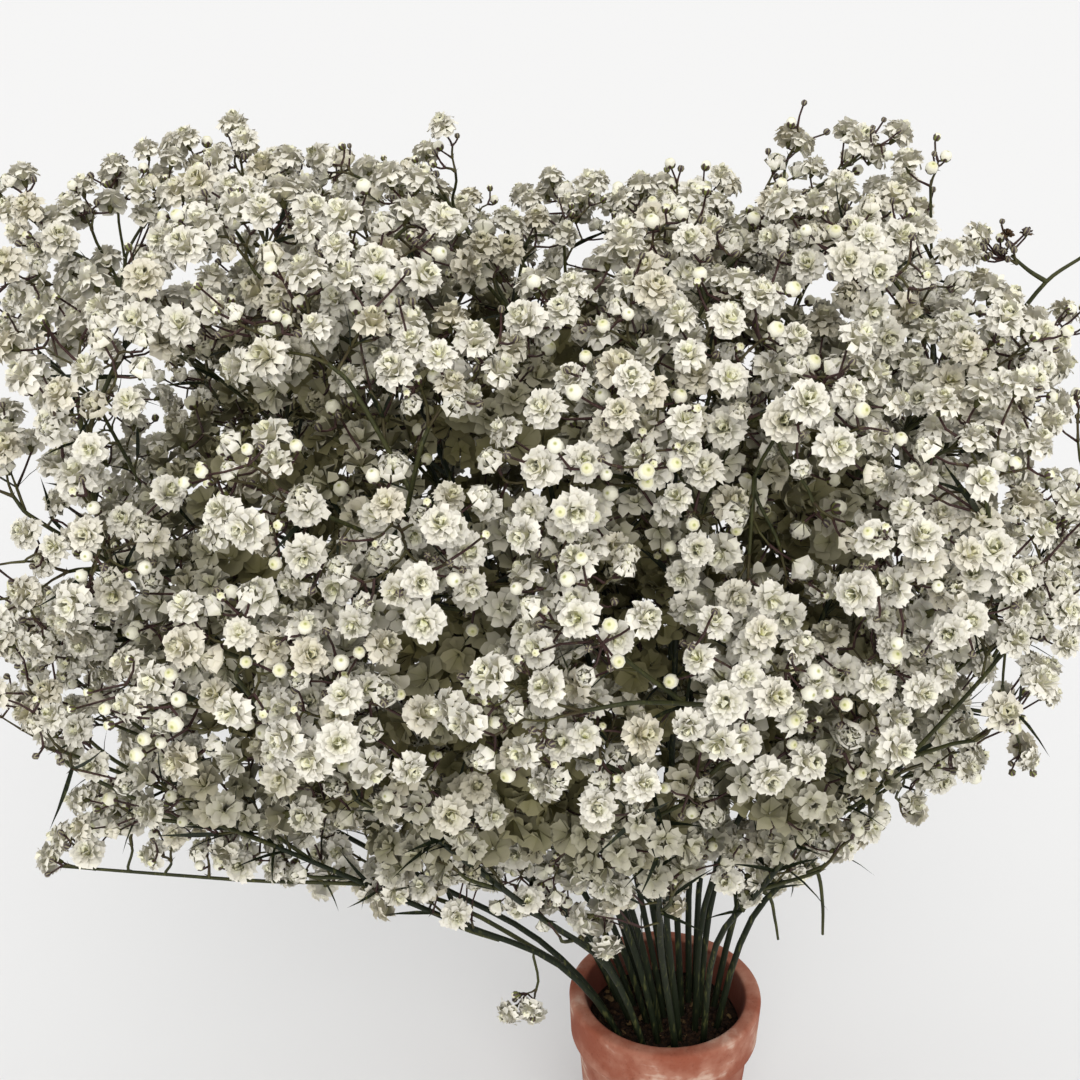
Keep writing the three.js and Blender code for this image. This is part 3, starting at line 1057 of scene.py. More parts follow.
@dataclass(frozen=True)
class BloomShape:
    """The petals of a double bloom at one stage."""

    whorls: tuple[Whorl, ...]
    base: Pair = (0.06, -0.3)
    hub: Pair = (0.0, 0.58)
    cup: float = 0.08
    ragged: float = 0.05
    roll: float = 0.26
    reach: Pair = (0.84, 1.05)
    softness: float = 0.35
    astray: float = 0.22
    uneven: float = 1.6
    breadth: Pair = (0.88, 1.15)
    cupping: Pair = (-0.3, 1.3)
    mottle: float = 0.08
    base_cream: float = 0.45
    frill_lift: float = 1.2
    frill_run: Pair = (-0.9, 0.5)

    def template(self, name: str, seed: int) -> bpy.types.Mesh:
        """Builds one variant of the bloom, with a radius of 1.

        Args:
            name: the mesh's name.
            seed: the variant.

        Returns:
            The mesh, with a layer that says how near the heart each vertex is.
        """
        draws = Draws(seed)
        made = Template(name, ("heart", "tone", "shade"))
        for whorl in self.whorls:
            shift = draws.number()
            for i in range(whorl.count):
                turn = 2 * math.pi * (i + shift + draws.between(-self.astray, self.astray)) / whorl.count
                self.petal(made, whorl, turn, draws)
        return made.finish()

    def petal(self, made: Template, whorl: Whorl, turn: float, draws: Draws) -> None:
        """Adds one petal: a fan of triangles, bent along its spine, with a ruffled and notched end.

        Args:
            made: the template that it joins.
            whorl: the ring that it stands in.
            turn: its angle round the bloom.
            draws: the random numbers.
        """
        heart = made.mesh.verts.layers.float["heart"]
        outline = whorl.outline.value
        verts = bmesh.ops.create_circle(made.mesh, cap_ends=True, cap_tris=whorl.outline.has_rib, radius=1,
                                        segments=2 * (len(outline) - 1))["verts"]
        far = draws.between(*self.reach)
        base = Vector(self.base)
        tip = Vector(whorl.tip) * far + Vector((0, draws.between(-self.uneven, self.uneven) * self.ragged))
        bend = (Vector(whorl.middle) * far * 2 - (base + tip) / 2)
        width = whorl.width * draws.between(*self.breadth) / 2
        roll = draws.between(-self.roll, self.roll)
        cup = self.cup * draws.between(*self.cupping)
        pale = draws.between(-self.mottle, self.mottle)
        for vert in verts:
            step = round(abs(math.atan2(vert.co.x, vert.co.y)) / math.pi * (len(outline) - 1))
            on_rim = vert.co.length > 0.5
            across, share = outline[step] if on_rim else self.hub
            across = math.copysign(across, vert.co.x)
            spine = base * (1 - share) ** 2 + bend * (2 * share * (1 - share)) + tip * share ** 2
            run = ((bend - base) * (1 - share) + (tip - bend) * share).normalized()
            frill = self.ragged * share * share
            lift = cup * abs(across) * share + roll * across * share * width
            lift += draws.between(-self.frill_lift, self.frill_lift) * frill
            spine = spine + Vector((-run.y, run.x)) * lift + run * (draws.between(*self.frill_run) * frill)
            vert.co = Vector((across * width, spine.x, spine.y))
            vert[heart] = min(1, max(0, whorl.cream + pale + (1 - share) * self.base_cream))
        bmesh.ops.rotate(made.mesh, cent=(0, 0, 0), matrix=Matrix.Rotation(turn, 3, "Z"), verts=verts)
        self.soften(made, verts)

    def soften(self, made: Template, verts: Sequence[bmesh.types.BMVert]) -> None:
        """Leans a petal's normals outwards on the side that it faces, so that the bloom shades as a ball.

        Args:
            made: the template.
            verts: the petal's vertices.
        """
        soft = made.mesh.verts.layers.float_vector["soft"]
        for face in {face for vert in verts for face in vert.link_faces}:
            face.normal_update()
        for vert in verts:
            vert.normal_update()
        core = Vector((0, 0, self.base[1]))
        middle = sum((vert.co for vert in verts), Vector()) / len(verts)
        facing = sum((vert.normal for vert in verts), Vector())
        lean = math.copysign(self.softness, facing.dot(middle - core))
        for vert in verts:
            out = (vert.co - core).normalized()
            vert[soft] = (vert.normal * (1 - self.softness) + out * lean).normalized()


OPEN_SHAPE = BloomShape(whorls=(
    Whorl(5, (0.74, -0.5), (0.62, -0.06), 0.78),
    Whorl(10, (0.98, -0.2), (0.7, 0.14), 0.5, outline=Outline.PLAIN),
    Whorl(9, (0.96, 0.14), (0.64, 0.36), 0.48),
    Whorl(9, (0.8, 0.44), (0.5, 0.54), 0.44),
    Whorl(8, (0.58, 0.68), (0.36, 0.62), 0.4, 0.06),
    Whorl(6, (0.32, 0.84), (0.24, 0.66), 0.36, 0.2),
    Whorl(4, (-0.06, 0.88), (0.2, 0.7), 0.36, 0.34),
))
LOOSE_SHAPE = BloomShape(whorls=(
    Whorl(6, (0.72, -0.56), (0.64, -0.08), 0.72),
    Whorl(8, (0.98, -0.24), (0.7, 0.12), 0.54, outline=Outline.PLAIN),
    Whorl(8, (0.94, 0.12), (0.6, 0.32), 0.5),
    Whorl(7, (0.72, 0.48), (0.42, 0.5), 0.46, 0.05),
    Whorl(6, (0.42, 0.72), (0.28, 0.58), 0.4, 0.16),
    Whorl(4, (-0.04, 0.82), (0.22, 0.66), 0.42, 0.34),
), ragged=0.07)
HALF_SHAPE = BloomShape(whorls=(
    Whorl(7, (0.66, 0.5), (1.0, -0.05), 0.86, outline=Outline.PLAIN),
    Whorl(7, (0.5, 0.78), (0.84, 0.36), 0.62),
    Whorl(6, (0.28, 0.92), (0.56, 0.66), 0.48, 0.12),
    Whorl(4, (-0.02, 0.96), (0.3, 0.8), 0.42, 0.3),
), base=(0.14, -0.66), cup=-0.1, roll=0.2, ragged=0.035)
DEEP_SHAPE = BloomShape(whorls=(
    Whorl(7, (1.0, -0.2), (0.68, 0.14), 0.64),
    Whorl(7, (0.8, 0.38), (0.48, 0.46), 0.5, 0.04),
    Whorl(5, (0.14, 0.72), (0.3, 0.6), 0.56, 0.1),
), ragged=0.09)
CORE_SHAPE = BloomShape(whorls=(
    Whorl(7, (1.0, -0.2), (0.68, 0.14), 0.8),
    Whorl(5, (0.56, 0.5), (0.4, 0.5), 0.7, 0.06),
), ragged=0.09)


@dataclass(frozen=True)
class BudShape:
    """A round bud with a dimple at its top. Its finish paints the calyx on it."""

    sides: int = 8
    rings: int = 5
    top: float = 0.95
    dimple: float = 0.16
    slim: float = 0.93

    def template(self, name: str) -> bpy.types.Mesh:
        """Builds the bud with a radius of 1.

        Args:
            name: the mesh's name.

        Returns:
            The mesh.
        """
        made = Template(name, ("heart", "tone", "shade"))
        heart = made.mesh.verts.layers.float["heart"]
        verts = bmesh.ops.create_uvsphere(made.mesh, u_segments=self.sides, v_segments=self.rings,
                                          radius=1, calc_uvs=True)["verts"]
        for vert in verts:
            vert[heart] = (vert.co.z + 1) / 2
            if vert.co.z > self.top:
                vert.co.z -= self.dimple
            vert.co.x *= self.slim
            vert.co.y *= self.slim
        for face in made.mesh.faces:
            face.material_index = BUD_SLOT
        return made.finish()


@dataclass(frozen=True)
class CalyxShape:
    """The green cup under a bloom."""

    sides: int = 5
    low: Pair = (0.09, -0.66)
    high: Pair = (0.25, -0.2)
    hue: float = 0.55

    def template(self, name: str) -> bpy.types.Mesh:
        """Builds the cup for a bloom with a radius of 1.

        Args:
            name: the mesh's name.

        Returns:
            The mesh.
        """
        made = Template(name, ("hue",))
        hue = made.mesh.verts.layers.float["hue"]
        height = self.high[1] - self.low[1]
        middle = Matrix.Translation((0, 0, (self.high[1] + self.low[1]) / 2))
        bmesh.ops.create_cone(made.mesh, cap_ends=True, segments=self.sides, radius1=self.low[0],
                              radius2=self.high[0], depth=height, matrix=middle)
        for vert in made.mesh.verts:
            vert[hue] = self.hue
        return made.finish()


@dataclass(frozen=True)
class BladeShape:
    """A narrow leaf or bract, folded along its rib and pointed at its end."""

    length: float
    width: float
    steps: int
    sheets: int = 2
    fold: float = 0.25
    droop: float = 0.2
    hue: float = 0
    neck: float = 0.35
    widest: float = 0.25
    point: float = 0.05

    def template(self, name: str) -> bpy.types.Mesh:
        """Builds the blade from the origin along +X.

        Args:
            name: the mesh's name.

        Returns:
            The mesh.
        """
        made = Template(name, ("hue",))
        hue = made.mesh.verts.layers.float["hue"]
        grid = bmesh.ops.create_grid(made.mesh, x_segments=self.steps, y_segments=self.sheets, size=1)
        for vert in grid["verts"]:
            share, side = (vert.co.x + 1) / 2, vert.co.y
            belly = math.sin(math.pi * min(share + self.widest, 1))
            half = self.width / 2 * (self.neck + (1 - self.neck) * belly)
            half *= 1 if round(share, 2) < 1 else self.point
            vert.co = Vector((share * self.length, side * half,
                              abs(side) * half * self.fold - self.droop * self.length * share * share))
            vert[hue] = self.hue
        return made.finish()


BRACT_SHAPE = BladeShape(length=1.9, width=0.8, steps=1, sheets=1, hue=0.8)
LEAF_SHAPE = BladeShape(length=1, width=0.085, steps=3)


class Sheaf:
    """Gathers copies of templates into one mesh, and finishes it as one piece."""

    def __init__(self, layers: Iterable[str]) -> None:
        """Starts an empty mesh with float layers on its vertices."""
        self.mesh = empty_mesh(layers)

    def put(self, template: bpy.types.Mesh, place: Matrix, values: dict[str, float] | None = None) -> None:
        """Adds a copy of a template.

        Args:
            template: the template.
            place: where it goes, in millimetres.
            values: a value for the whole copy on each layer that is named.
        """
        copy = template.copy()
        copy.transform(TO_METRES @ place)
        for layer, value in (values or {}).items():
            copy.attributes[layer].data.foreach_set("value", [value] * len(copy.vertices))
        turn = place.to_quaternion()
        soft = copy.attributes["soft"].data
        soft.foreach_set("vector", [part for item in soft for part in turn @ item.vector])
        self.mesh.from_mesh(copy)
        bpy.data.meshes.remove(copy)

    def put_limbs(self, limbs: list[Limb]) -> None:
        """Adds stretches of stem as closed tubes.

        Args:
            limbs: the stretches.
        """
        for level in Level:
            own = [limb for limb in limbs if limb.level is level]
            if own:
                tubes = tube_mesh(own, level.sides)
                layer = tubes.attributes.new("hue", "FLOAT", "POINT")
                layer.data.foreach_set("value", [level.hue] * len(tubes.vertices))
                self.mesh.from_mesh(tubes)
                bpy.data.meshes.remove(tubes)

    def finish(self, name: str, finishes: Sequence[bpy.types.Material]) -> bpy.types.Object:
        """Makes the piece.

        Args:
            name: the piece's name.
            finishes: its materials.

        Returns:
            The piece, with its object at the origin.
        """
        made = as_mesh(name, self.mesh)
        for finish in finishes:
            made.materials.append(finish)
        made.shade_smooth()
        soft = made.attributes["soft"]
        made.normals_split_custom_set_from_vertices([item.vector for item in soft.data])
        made.attributes.remove(made.attributes["soft"])
        return as_object(name, made)


def tube_mesh(limbs: list[Limb], sides: int) -> bpy.types.Mesh:
    """Turns stretches of stem into closed tubes, through a curve with a bevel.

    Args:
        limbs: the stretches.
        sides: the sides of each tube.

    Returns:
        The tubes as one mesh, in metres.
    """
    section = bpy.data.curves.new("section", "CURVE")
    outline = section.splines.new("POLY")
    outline.points.add(sides - 1)
    for i, point in enumerate(outline.points):
        turn = 2 * math.pi * i / sides
        point.co = (math.cos(turn), math.sin(turn), 0, 1)
    outline.use_cyclic_u = True
    curve = bpy.data.curves.new("limbs", "CURVE")
    curve.dimensions = "3D"
    curve.bevel_mode = "OBJECT"
    curve.use_fill_caps = True
    curve.bevel_object = as_object("section", section)
    for limb in limbs:
        spline = curve.splines.new("POLY")
        spline.points.add(len(limb.path) - 1)
        for point, place, radius in zip(spline.points, limb.path, limb.radii):
            point.co = (*(place * MM), 1)
            point.radius = radius * MM
    holder = as_object("limbs", curve)
    made = as_built(holder)
    made.materials.clear()
    closed = bmesh.new()
    closed.from_mesh(made)
    bmesh.ops.remove_doubles(closed, verts=closed.verts, dist=CAP_GAP)
    closed.to_mesh(made)
    closed.free()
    for helper in (holder, curve.bevel_object):
        bpy.data.objects.remove(helper)
    bpy.data.curves.remove(curve)
    bpy.data.curves.remove(section)
    return made


class Shade:
    """A socket of a material, on which arithmetic adds Math nodes."""

    def __init__(self, maker: "NodeMaker", socket: bpy.types.NodeSocket) -> None:
        """Wraps a socket."""
        self.maker = maker
        self.socket = socket

    def math(self, operation: str, *values: "Shade | float") -> "Shade":
        """Adds a Math node on this value and others."""
        return self.maker.node("ShaderNodeMath", {"operation": operation}, dict(enumerate(values)))

    def __add__(self, other: "Shade | float") -> "Shade":
        """Adds."""
        return self.math("ADD", self, other)

    __radd__ = __add__

    def __sub__(self, other: "Shade | float") -> "Shade":
        """Subtracts."""
        return self.math("SUBTRACT", self, other)

    def __rsub__(self, other: float) -> "Shade":
        """Subtracts from a number."""
        return self.math("SUBTRACT", other, self)

    def __mul__(self, other: "Shade | float") -> "Shade":
        """Multiplies."""
        return self.math("MULTIPLY", self, other)

    __rmul__ = __mul__

    def smooth(self, low: float, high: float) -> "Shade":
        """A soft step from 0 at one value to 1 at another."""
        return self.maker.node("ShaderNodeMapRange", {"interpolation_type": "SMOOTHSTEP", "clamp": True},
                               {"Value": self, "From Min": low, "From Max": high})

    def wave(self) -> "Shade":
        """The sine of this value."""
        return self.math("SINE", self)


class NodeMaker:
    """Builds one material's nodes round a Principled shader."""

    NOISE_ROUGHNESS = 0.55
    MIX_FACTOR, MIX_LOW, MIX_HIGH, MIX_COLOUR = 0, 6, 7, 2

    def __init__(self, name: str) -> None:
        """Starts a material.

        Args:
            name: its name.
        """
        self.material = bpy.data.materials.new(name)
        self.material.use_nodes = True
        self.tree = self.material.node_tree
        self.shader = self.tree.nodes["Principled BSDF"]

    def node(self, kind: str, settings: dict[str, str | bool],
             values: dict[int | str, "Shade | float | Triple"], output: int | str = 0) -> Shade:
        """Adds a node.

        Args:
            kind: its type.
            settings: its properties, which are set first.
            values: the value or link of each socket, by name or number.
            output: the output that is wanted.

        Returns:
            That output.
        """
        made = self.tree.nodes.new(kind)
        for key, value in settings.items():
            setattr(made, key, value)
        for key, value in values.items():
            self.feed(made.inputs[key], value)
        return Shade(self, made.outputs[output])

    def feed(self, socket: bpy.types.NodeSocket, value: "Shade | float | Triple") -> None:
        """Links a socket, or sets its value.

        Args:
            socket: the socket.
            value: a link, a number, a colour or a vector.
        """
        if isinstance(value, Shade):
            self.tree.links.new(value.socket, socket)
        elif isinstance(value, tuple) and len(socket.default_value) == 4:
            socket.default_value = (*value, 1)
        else:
            socket.default_value = value

    def set(self, **values: "Shade | float | Triple") -> bpy.types.Material:
        """Feeds the shader's sockets, named with _ for a space.

        Args:
            values: the sockets' values or links.

        Returns:
            The material.
        """
        for key, value in values.items():
            self.feed(self.shader.inputs[key.replace("_", " ")], value)
        return self.material

    def layer(self, name: str) -> Shade:
        """A float layer of the mesh."""
        return self.node("ShaderNodeAttribute", {"attribute_name": name}, {}, "Fac")

    def place(self) -> Shade:
        """The object's own coordinates, in metres."""
        return self.node("ShaderNodeTexCoord", {}, {}, "Object")

    def noise(self, size: float, detail: float = 2, stretch: Triple = (1, 1, 1)) -> Shade:
        """Noise on the object's coordinates.

        Args:
            size: the size of its blotches, in millimetres.
            detail: its octaves.
            stretch: how much finer it is along each axis.

        Returns:
            Values round 0.5.
        """
        grid = self.node("ShaderNodeMapping", {}, {"Vector": self.place(), "Scale": stretch})
        return self.node("ShaderNodeTexNoise", {}, {"Vector": grid, "Scale": 1 / (size * MM),
                                                    "Detail": detail, "Roughness": self.NOISE_ROUGHNESS})

    def mix(self, share: "Shade | float", low: "Shade | Triple", high: "Shade | Triple",
            blend: str = "MIX") -> Shade:
        """Mixes two colours.

        Args:
            share: 0 for the first and 1 for the second.
            low: the first colour.
            high: the second colour.
            blend: the kind of mixing.

        Returns:
            The mixed colour.
        """
        return self.node("ShaderNodeMix", {"data_type": "RGBA", "blend_type": blend},
                         {self.MIX_FACTOR: share, self.MIX_LOW: low, self.MIX_HIGH: high}, self.MIX_COLOUR)

    def bump(self, height: Shade, depth: float) -> Shade:
        """A bump of a depth in millimetres."""
        return self.node("ShaderNodeBump", {}, {"Height": height, "Distance": depth * MM}, "Normal")


def colour(code: str) -> Triple:
    """A colour written as on a web page, as the shader's linear values."""
    parts = (int(code[i:i + 2], 16) / 255 for i in (1, 3, 5))
    return tuple(part / 12.92 if part <= 0.04045 else ((part + 0.055) / 1.055) ** 2.4 for part in parts)


@dataclass(frozen=True)
class PetalFinish:
    """White petals with a cream heart that turns yellow-green at its very bottom."""

    white: str = "#ece8dc"
    cream: str = "#ecead0"
    heart: str = "#e3e6a2"
    aged: str = "#f2efe7"
    dry: str = "#5f4a36"
    shaded: str = "#878360"
    cream_from: Pair = (0.08, 0.5)
    heart_from: Pair = (0.46, 0.72)
    heart_share: float = 0.9
    aged_from: Pair = (0.7, 1.0)
    dry_from: Pair = (1.4, 1.6)
    mottle_size: float = 2.2
    mottle_from: Pair = (0.5, 0.8)
    mottle_share: float = 0.3
    roughness: float = 0.62
    uneven: float = 0.1
    specular: float = 0.3

    def make(self) -> bpy.types.Material:
        """Builds the material.

        Returns:
            The material.
        """
        maker = NodeMaker("petals")
        heart = maker.layer("heart")
        mottle = maker.noise(self.mottle_size)
        spots = mottle.smooth(*self.mottle_from) * self.mottle_share
        base = maker.mix(heart.smooth(*self.cream_from), colour(self.white), colour(self.cream))
        base = maker.mix(heart.smooth(*self.heart_from) * self.heart_share, base, colour(self.heart))
        tone = maker.layer("tone")
        base = maker.mix(tone.smooth(*self.aged_from), base, colour(self.aged), "MULTIPLY")
        base = maker.mix(spots, base, colour(self.aged), "MULTIPLY")
        base = maker.mix(tone.smooth(*self.dry_from), base, colour(self.dry), "MULTIPLY")
        base = maker.mix(maker.layer("shade").smooth(0, 1), base, colour(self.shaded), "MULTIPLY")
        return maker.set(Base_Color=base, Roughness=self.roughness + self.uneven * mottle,
                         Specular_IOR_Level=self.specular)


@dataclass(frozen=True)
class BudFinish:
    """Cream buds with a yellow-green cleft, in a calyx striped dark purple-brown and green.

    The tone layer tells a round cream bud (up to 1) from a young striped one (2) and a dark one (3).
    """

    cream: str = "#efecd9"
    ring: str = "#e4e0b8"
    cleft: str = "#a0a352"
    calyx: str = "#70743c"
    stripe: str = "#463331"
    dark: str = "#413436"
    slit: str = "#8d876a"
    shaded: str = "#a5a288"
    stripes: int = 5
    ring_from: Pair = (0.74, 0.9)
    ring_tones: Pair = (0.3, 0.6)
    cleft_from: Pair = (0.93, 1.0)
    young_from: Pair = (1.4, 1.6)
    dark_from: Pair = (2.4, 2.6)
    stripe_from: Pair = (0.25, 0.6)
    slit_from: Pair = (0.2, 0.5)
    calyx_top: Pair = (0.24, 0.32)
    tooth: float = 0.16
    young_cup: float = 0.3
    roughness: float = 0.42
    specular: float = 0.4

    def make(self) -> bpy.types.Material:
        """Builds the material.

        Returns:
            The material.
        """
        maker = NodeMaker("buds")
        height, tone = maker.layer("heart"), maker.layer("tone")
        young = tone.smooth(*self.young_from)
        sheet = maker.node("ShaderNodeUVMap", {"uv_map": "sheet"}, {})
        turn = maker.node("ShaderNodeSeparateXYZ", {}, {0: sheet}, "X") * (2 * math.pi * self.stripes)
        tooth = turn.wave() * 0.5 + 0.5
        ringed = height.smooth(*self.ring_from) * tone.smooth(*self.ring_tones)
        base = maker.mix(ringed, colour(self.cream), colour(self.ring))
        base = maker.mix(height.smooth(*self.cleft_from), base, colour(self.cleft))
        cup = maker.mix(tooth.smooth(*self.stripe_from), colour(self.calyx), colour(self.stripe))
        edge = height - self.tooth * tooth - self.young_cup * young
        base = maker.mix(1 - edge.smooth(*self.calyx_top), base, cup)
        dark = maker.mix(tooth.smooth(*self.slit_from), colour(self.slit), colour(self.dark))
        base = maker.mix(tone.smooth(*self.dark_from), base, dark)
        base = maker.mix(maker.layer("shade"), base, colour(self.shaded), "MULTIPLY")
        return maker.set(Base_Color=base, Roughness=self.roughness, Specular_IOR_Level=self.specular)


@dataclass(frozen=True)
class StemFinish:
    """Stems that run from dark green at the pot to purple-brown at the flowers. The green is darkened near
    to black as painted shade of the cloud's inside and underside.
    """

    green: str = "#181f0f"
    olive: str = "#4c4c28"
    purple: str = "#402b29"
    pale: str = "#6c6d3c"
    patch_size: float = 6
    patch_detail: float = 3
    patchy: float = 0.5
    streak_size: float = 1.2
    streak_stretch: Triple = (1, 1, 0.2)
    streak_from: Pair = (0.55, 0.75)
    streak_share: float = 0.45
    streak_depth: float = 0.08
    olive_from: Pair = (0.05, 0.6)
    purple_from: Pair = (0.45, 0.95)
    roughness: float = 0.5
    uneven: float = 0.2
    specular: float = 0.25

    def make(self) -> bpy.types.Material:
        """Builds the material.

        Returns:
            The material.
        """
        maker = NodeMaker("stems")
        hue = maker.layer("hue")
        patches = maker.noise(self.patch_size, self.patch_detail)
        streaks = maker.noise(self.streak_size, stretch=self.streak_stretch)
        shifted = hue + self.patchy * (patches - 0.5)
        # Painted shade: the green is stem green darkened near to black, as the stems and leaves lie in the
        # shade inside and under the cloud.
        base = maker.mix(shifted.smooth(*self.olive_from), colour(self.green), colour(self.olive))
        base = maker.mix(shifted.smooth(*self.purple_from), base, colour(self.purple))
        base = maker.mix(streaks.smooth(*self.streak_from) * self.streak_share, base, colour(self.pale))
        return maker.set(Base_Color=base, Roughness=self.roughness + self.uneven * patches,
                         Specular_IOR_Level=self.specular, Normal=maker.bump(streaks, self.streak_depth))


@dataclass(frozen=True)
class ClayFinish:
    """Unglazed clay: mottled, with painted shade darkening it inside, and pale mineral bloom outside."""

    clay: str = "#8c4e3a"
    pale: str = "#ad7c68"
    dark: str = "#5c2e22"
    bloom: str = "#cdb7a6"
    blotch_size: float = 14
    blotch_detail: float = 4
    pale_from: Pair = (0.35, 0.7)
    grain_size: float = 0.9
    grain_detail: float = 3
    grain_from: Pair = (0.55, 0.8)
    grain_share: float = 0.4
    ring_size: float = 2.4
    ring_stretch: Triple = (0.15, 0.15, 1)
    ring_share: float = 0.4
    crust_from: Pair = (0.56, 0.7)
    crust_share: float = 0.6
    ring_relief: float = 0.6
    relief_depth: float = 0.12
    roughness: float = 0.84
    uneven: float = 0.12
    specular: float = 0.25

    def make(self) -> bpy.types.Material:
        """Builds the material.

        Returns:
            The material.
        """
        maker = NodeMaker("clay")
        blotches = maker.noise(self.blotch_size, self.blotch_detail)
        grain = maker.noise(self.grain_size, self.grain_detail)
        rings = maker.noise(self.ring_size, stretch=self.ring_stretch)
        damp = maker.layer("damp")
        base = maker.mix(blotches.smooth(*self.pale_from), colour(self.clay), colour(self.pale))
        base = maker.mix(grain.smooth(*self.grain_from) * self.grain_share, base, colour(self.dark))
        # Painted shade: the pot's inside is darkened towards the dark clay colour, and the mineral bloom is
        # kept off it.
        base = maker.mix(damp, base, colour(self.dark))
        crust = (blotches + self.ring_share * (rings - 0.5)).smooth(*self.crust_from) * (1 - damp)
        base = maker.mix(crust * self.crust_share, base, colour(self.bloom))
        relief = maker.bump(grain + self.ring_relief * rings, self.relief_depth)
        return maker.set(Base_Color=base, Roughness=self.roughness + self.uneven * grain,
                         Specular_IOR_Level=self.specular, Normal=relief)


@dataclass(frozen=True)
class CompostFinish:
    """Dark crumbs of compost, a few of them pale fibre."""

    dark: str = "#1d140e"
    brown: str = "#3d2a1c"
    fibre: str = "#77603f"
    crumb_size: float = 1.6
    crumb_detail: float = 4
    crumb_depth: float = 0.4
    brown_from: Pair = (0.4, 0.65)
    fibre_from: Pair = (0.8, 0.95)
    roughness: float = 0.94
    specular: float = 0.2

    def make(self) -> bpy.types.Material:
        """Builds the material.

        Returns:
            The material.
        """
        maker = NodeMaker("compost")
        crumbs = maker.noise(self.crumb_size, self.crumb_detail)
        base = maker.mix(crumbs.smooth(*self.brown_from), colour(self.dark), colour(self.brown))
        base = maker.mix(maker.layer("tone").smooth(*self.fibre_from), base, colour(self.fibre))
        return maker.set(Base_Color=base, Roughness=self.roughness, Specular_IOR_Level=self.specular,
                         Normal=maker.bump(crumbs, self.crumb_depth))


@dataclass
class Finishes:
    """The materials of the whole piece."""

    petals: bpy.types.Material
    buds: bpy.types.Material
    stems: bpy.types.Material
    clay: bpy.types.Material
    compost: bpy.types.Material

    @classmethod
    def make(cls) -> "Finishes":
        """Builds every material."""
        return cls(PetalFinish().make(), BudFinish().make(), StemFinish().make(), ClayFinish().make(),
                   CompostFinish().make())


def turned(axis: Vector, spin: float) -> Matrix:
    """A turn that takes +Z to an axis, after a spin round it."""
    return axis.to_track_quat("Z", "Y").to_matrix().to_4x4() @ Matrix.Rotation(spin, 4, "Z")


@dataclass(frozen=True)
class Variants:
    """How many variants of a bloom there are, and the seed of the first."""

    shape: BloomShape
    count: int
    seed: int

    def templates(self, name: str) -> list[bpy.types.Mesh]:
        """Builds the variants."""
        return [self.shape.template(f"{name}_{i}", self.seed + SEED_STEP * i) for i in range(self.count)]


SEED_STEP = 13
BLOOM_VARIANTS = {
    Kind.OPEN: Variants(OPEN_SHAPE, 16, 71),
    Kind.LOOSE: Variants(LOOSE_SHAPE, 6, 401),
    Kind.HALF: Variants(HALF_SHAPE, 8, 907),
    Kind.DEEP: Variants(DEEP_SHAPE, 8, 1709),
    Kind.CORE: Variants(CORE_SHAPE, 4, 2203),
}


@dataclass
class Stock:
    """The templates that are copied all over the cloud."""

    shapes: dict[Kind, list[bpy.types.Mesh]]
    calyx: bpy.types.Mesh
    bract: bpy.types.Mesh
    leaf: bpy.types.Mesh

    @classmethod
    def make(cls) -> "Stock":
        """Builds every template, with several variants of each bloom.

        Returns:
            The stock.
        """
        blooms = {kind: variants.templates(kind.name.lower()) for kind, variants in BLOOM_VARIANTS.items()}
        blooms[Kind.DRY] = blooms[Kind.DEEP]
        large = [BudShape().template("bud")]
        small = [BudShape(sides=6, rings=4).template("small_bud")]
        buds = {Kind.BUD: large, Kind.YOUNG: small, Kind.DARK: small}
        return cls(
            shapes=blooms | buds,
            calyx=CalyxShape().template("calyx"),
            bract=BRACT_SHAPE.template("bract"),
            leaf=LEAF_SHAPE.template("leaf"),
        )

    def clear(self) -> None:
        """Removes the templates once they are copied."""
        for mesh in {mesh for meshes in self.shapes.values() for mesh in meshes}:
            bpy.data.meshes.remove(mesh)
        for mesh in (self.calyx, self.bract, self.leaf):
            bpy.data.meshes.remove(mesh)


TONES = {Kind.DRY: 2, Kind.YOUNG: 2, Kind.DARK: 3}
SPRAY_SEED = 5003
SPRAY_SEED_STEP = 37


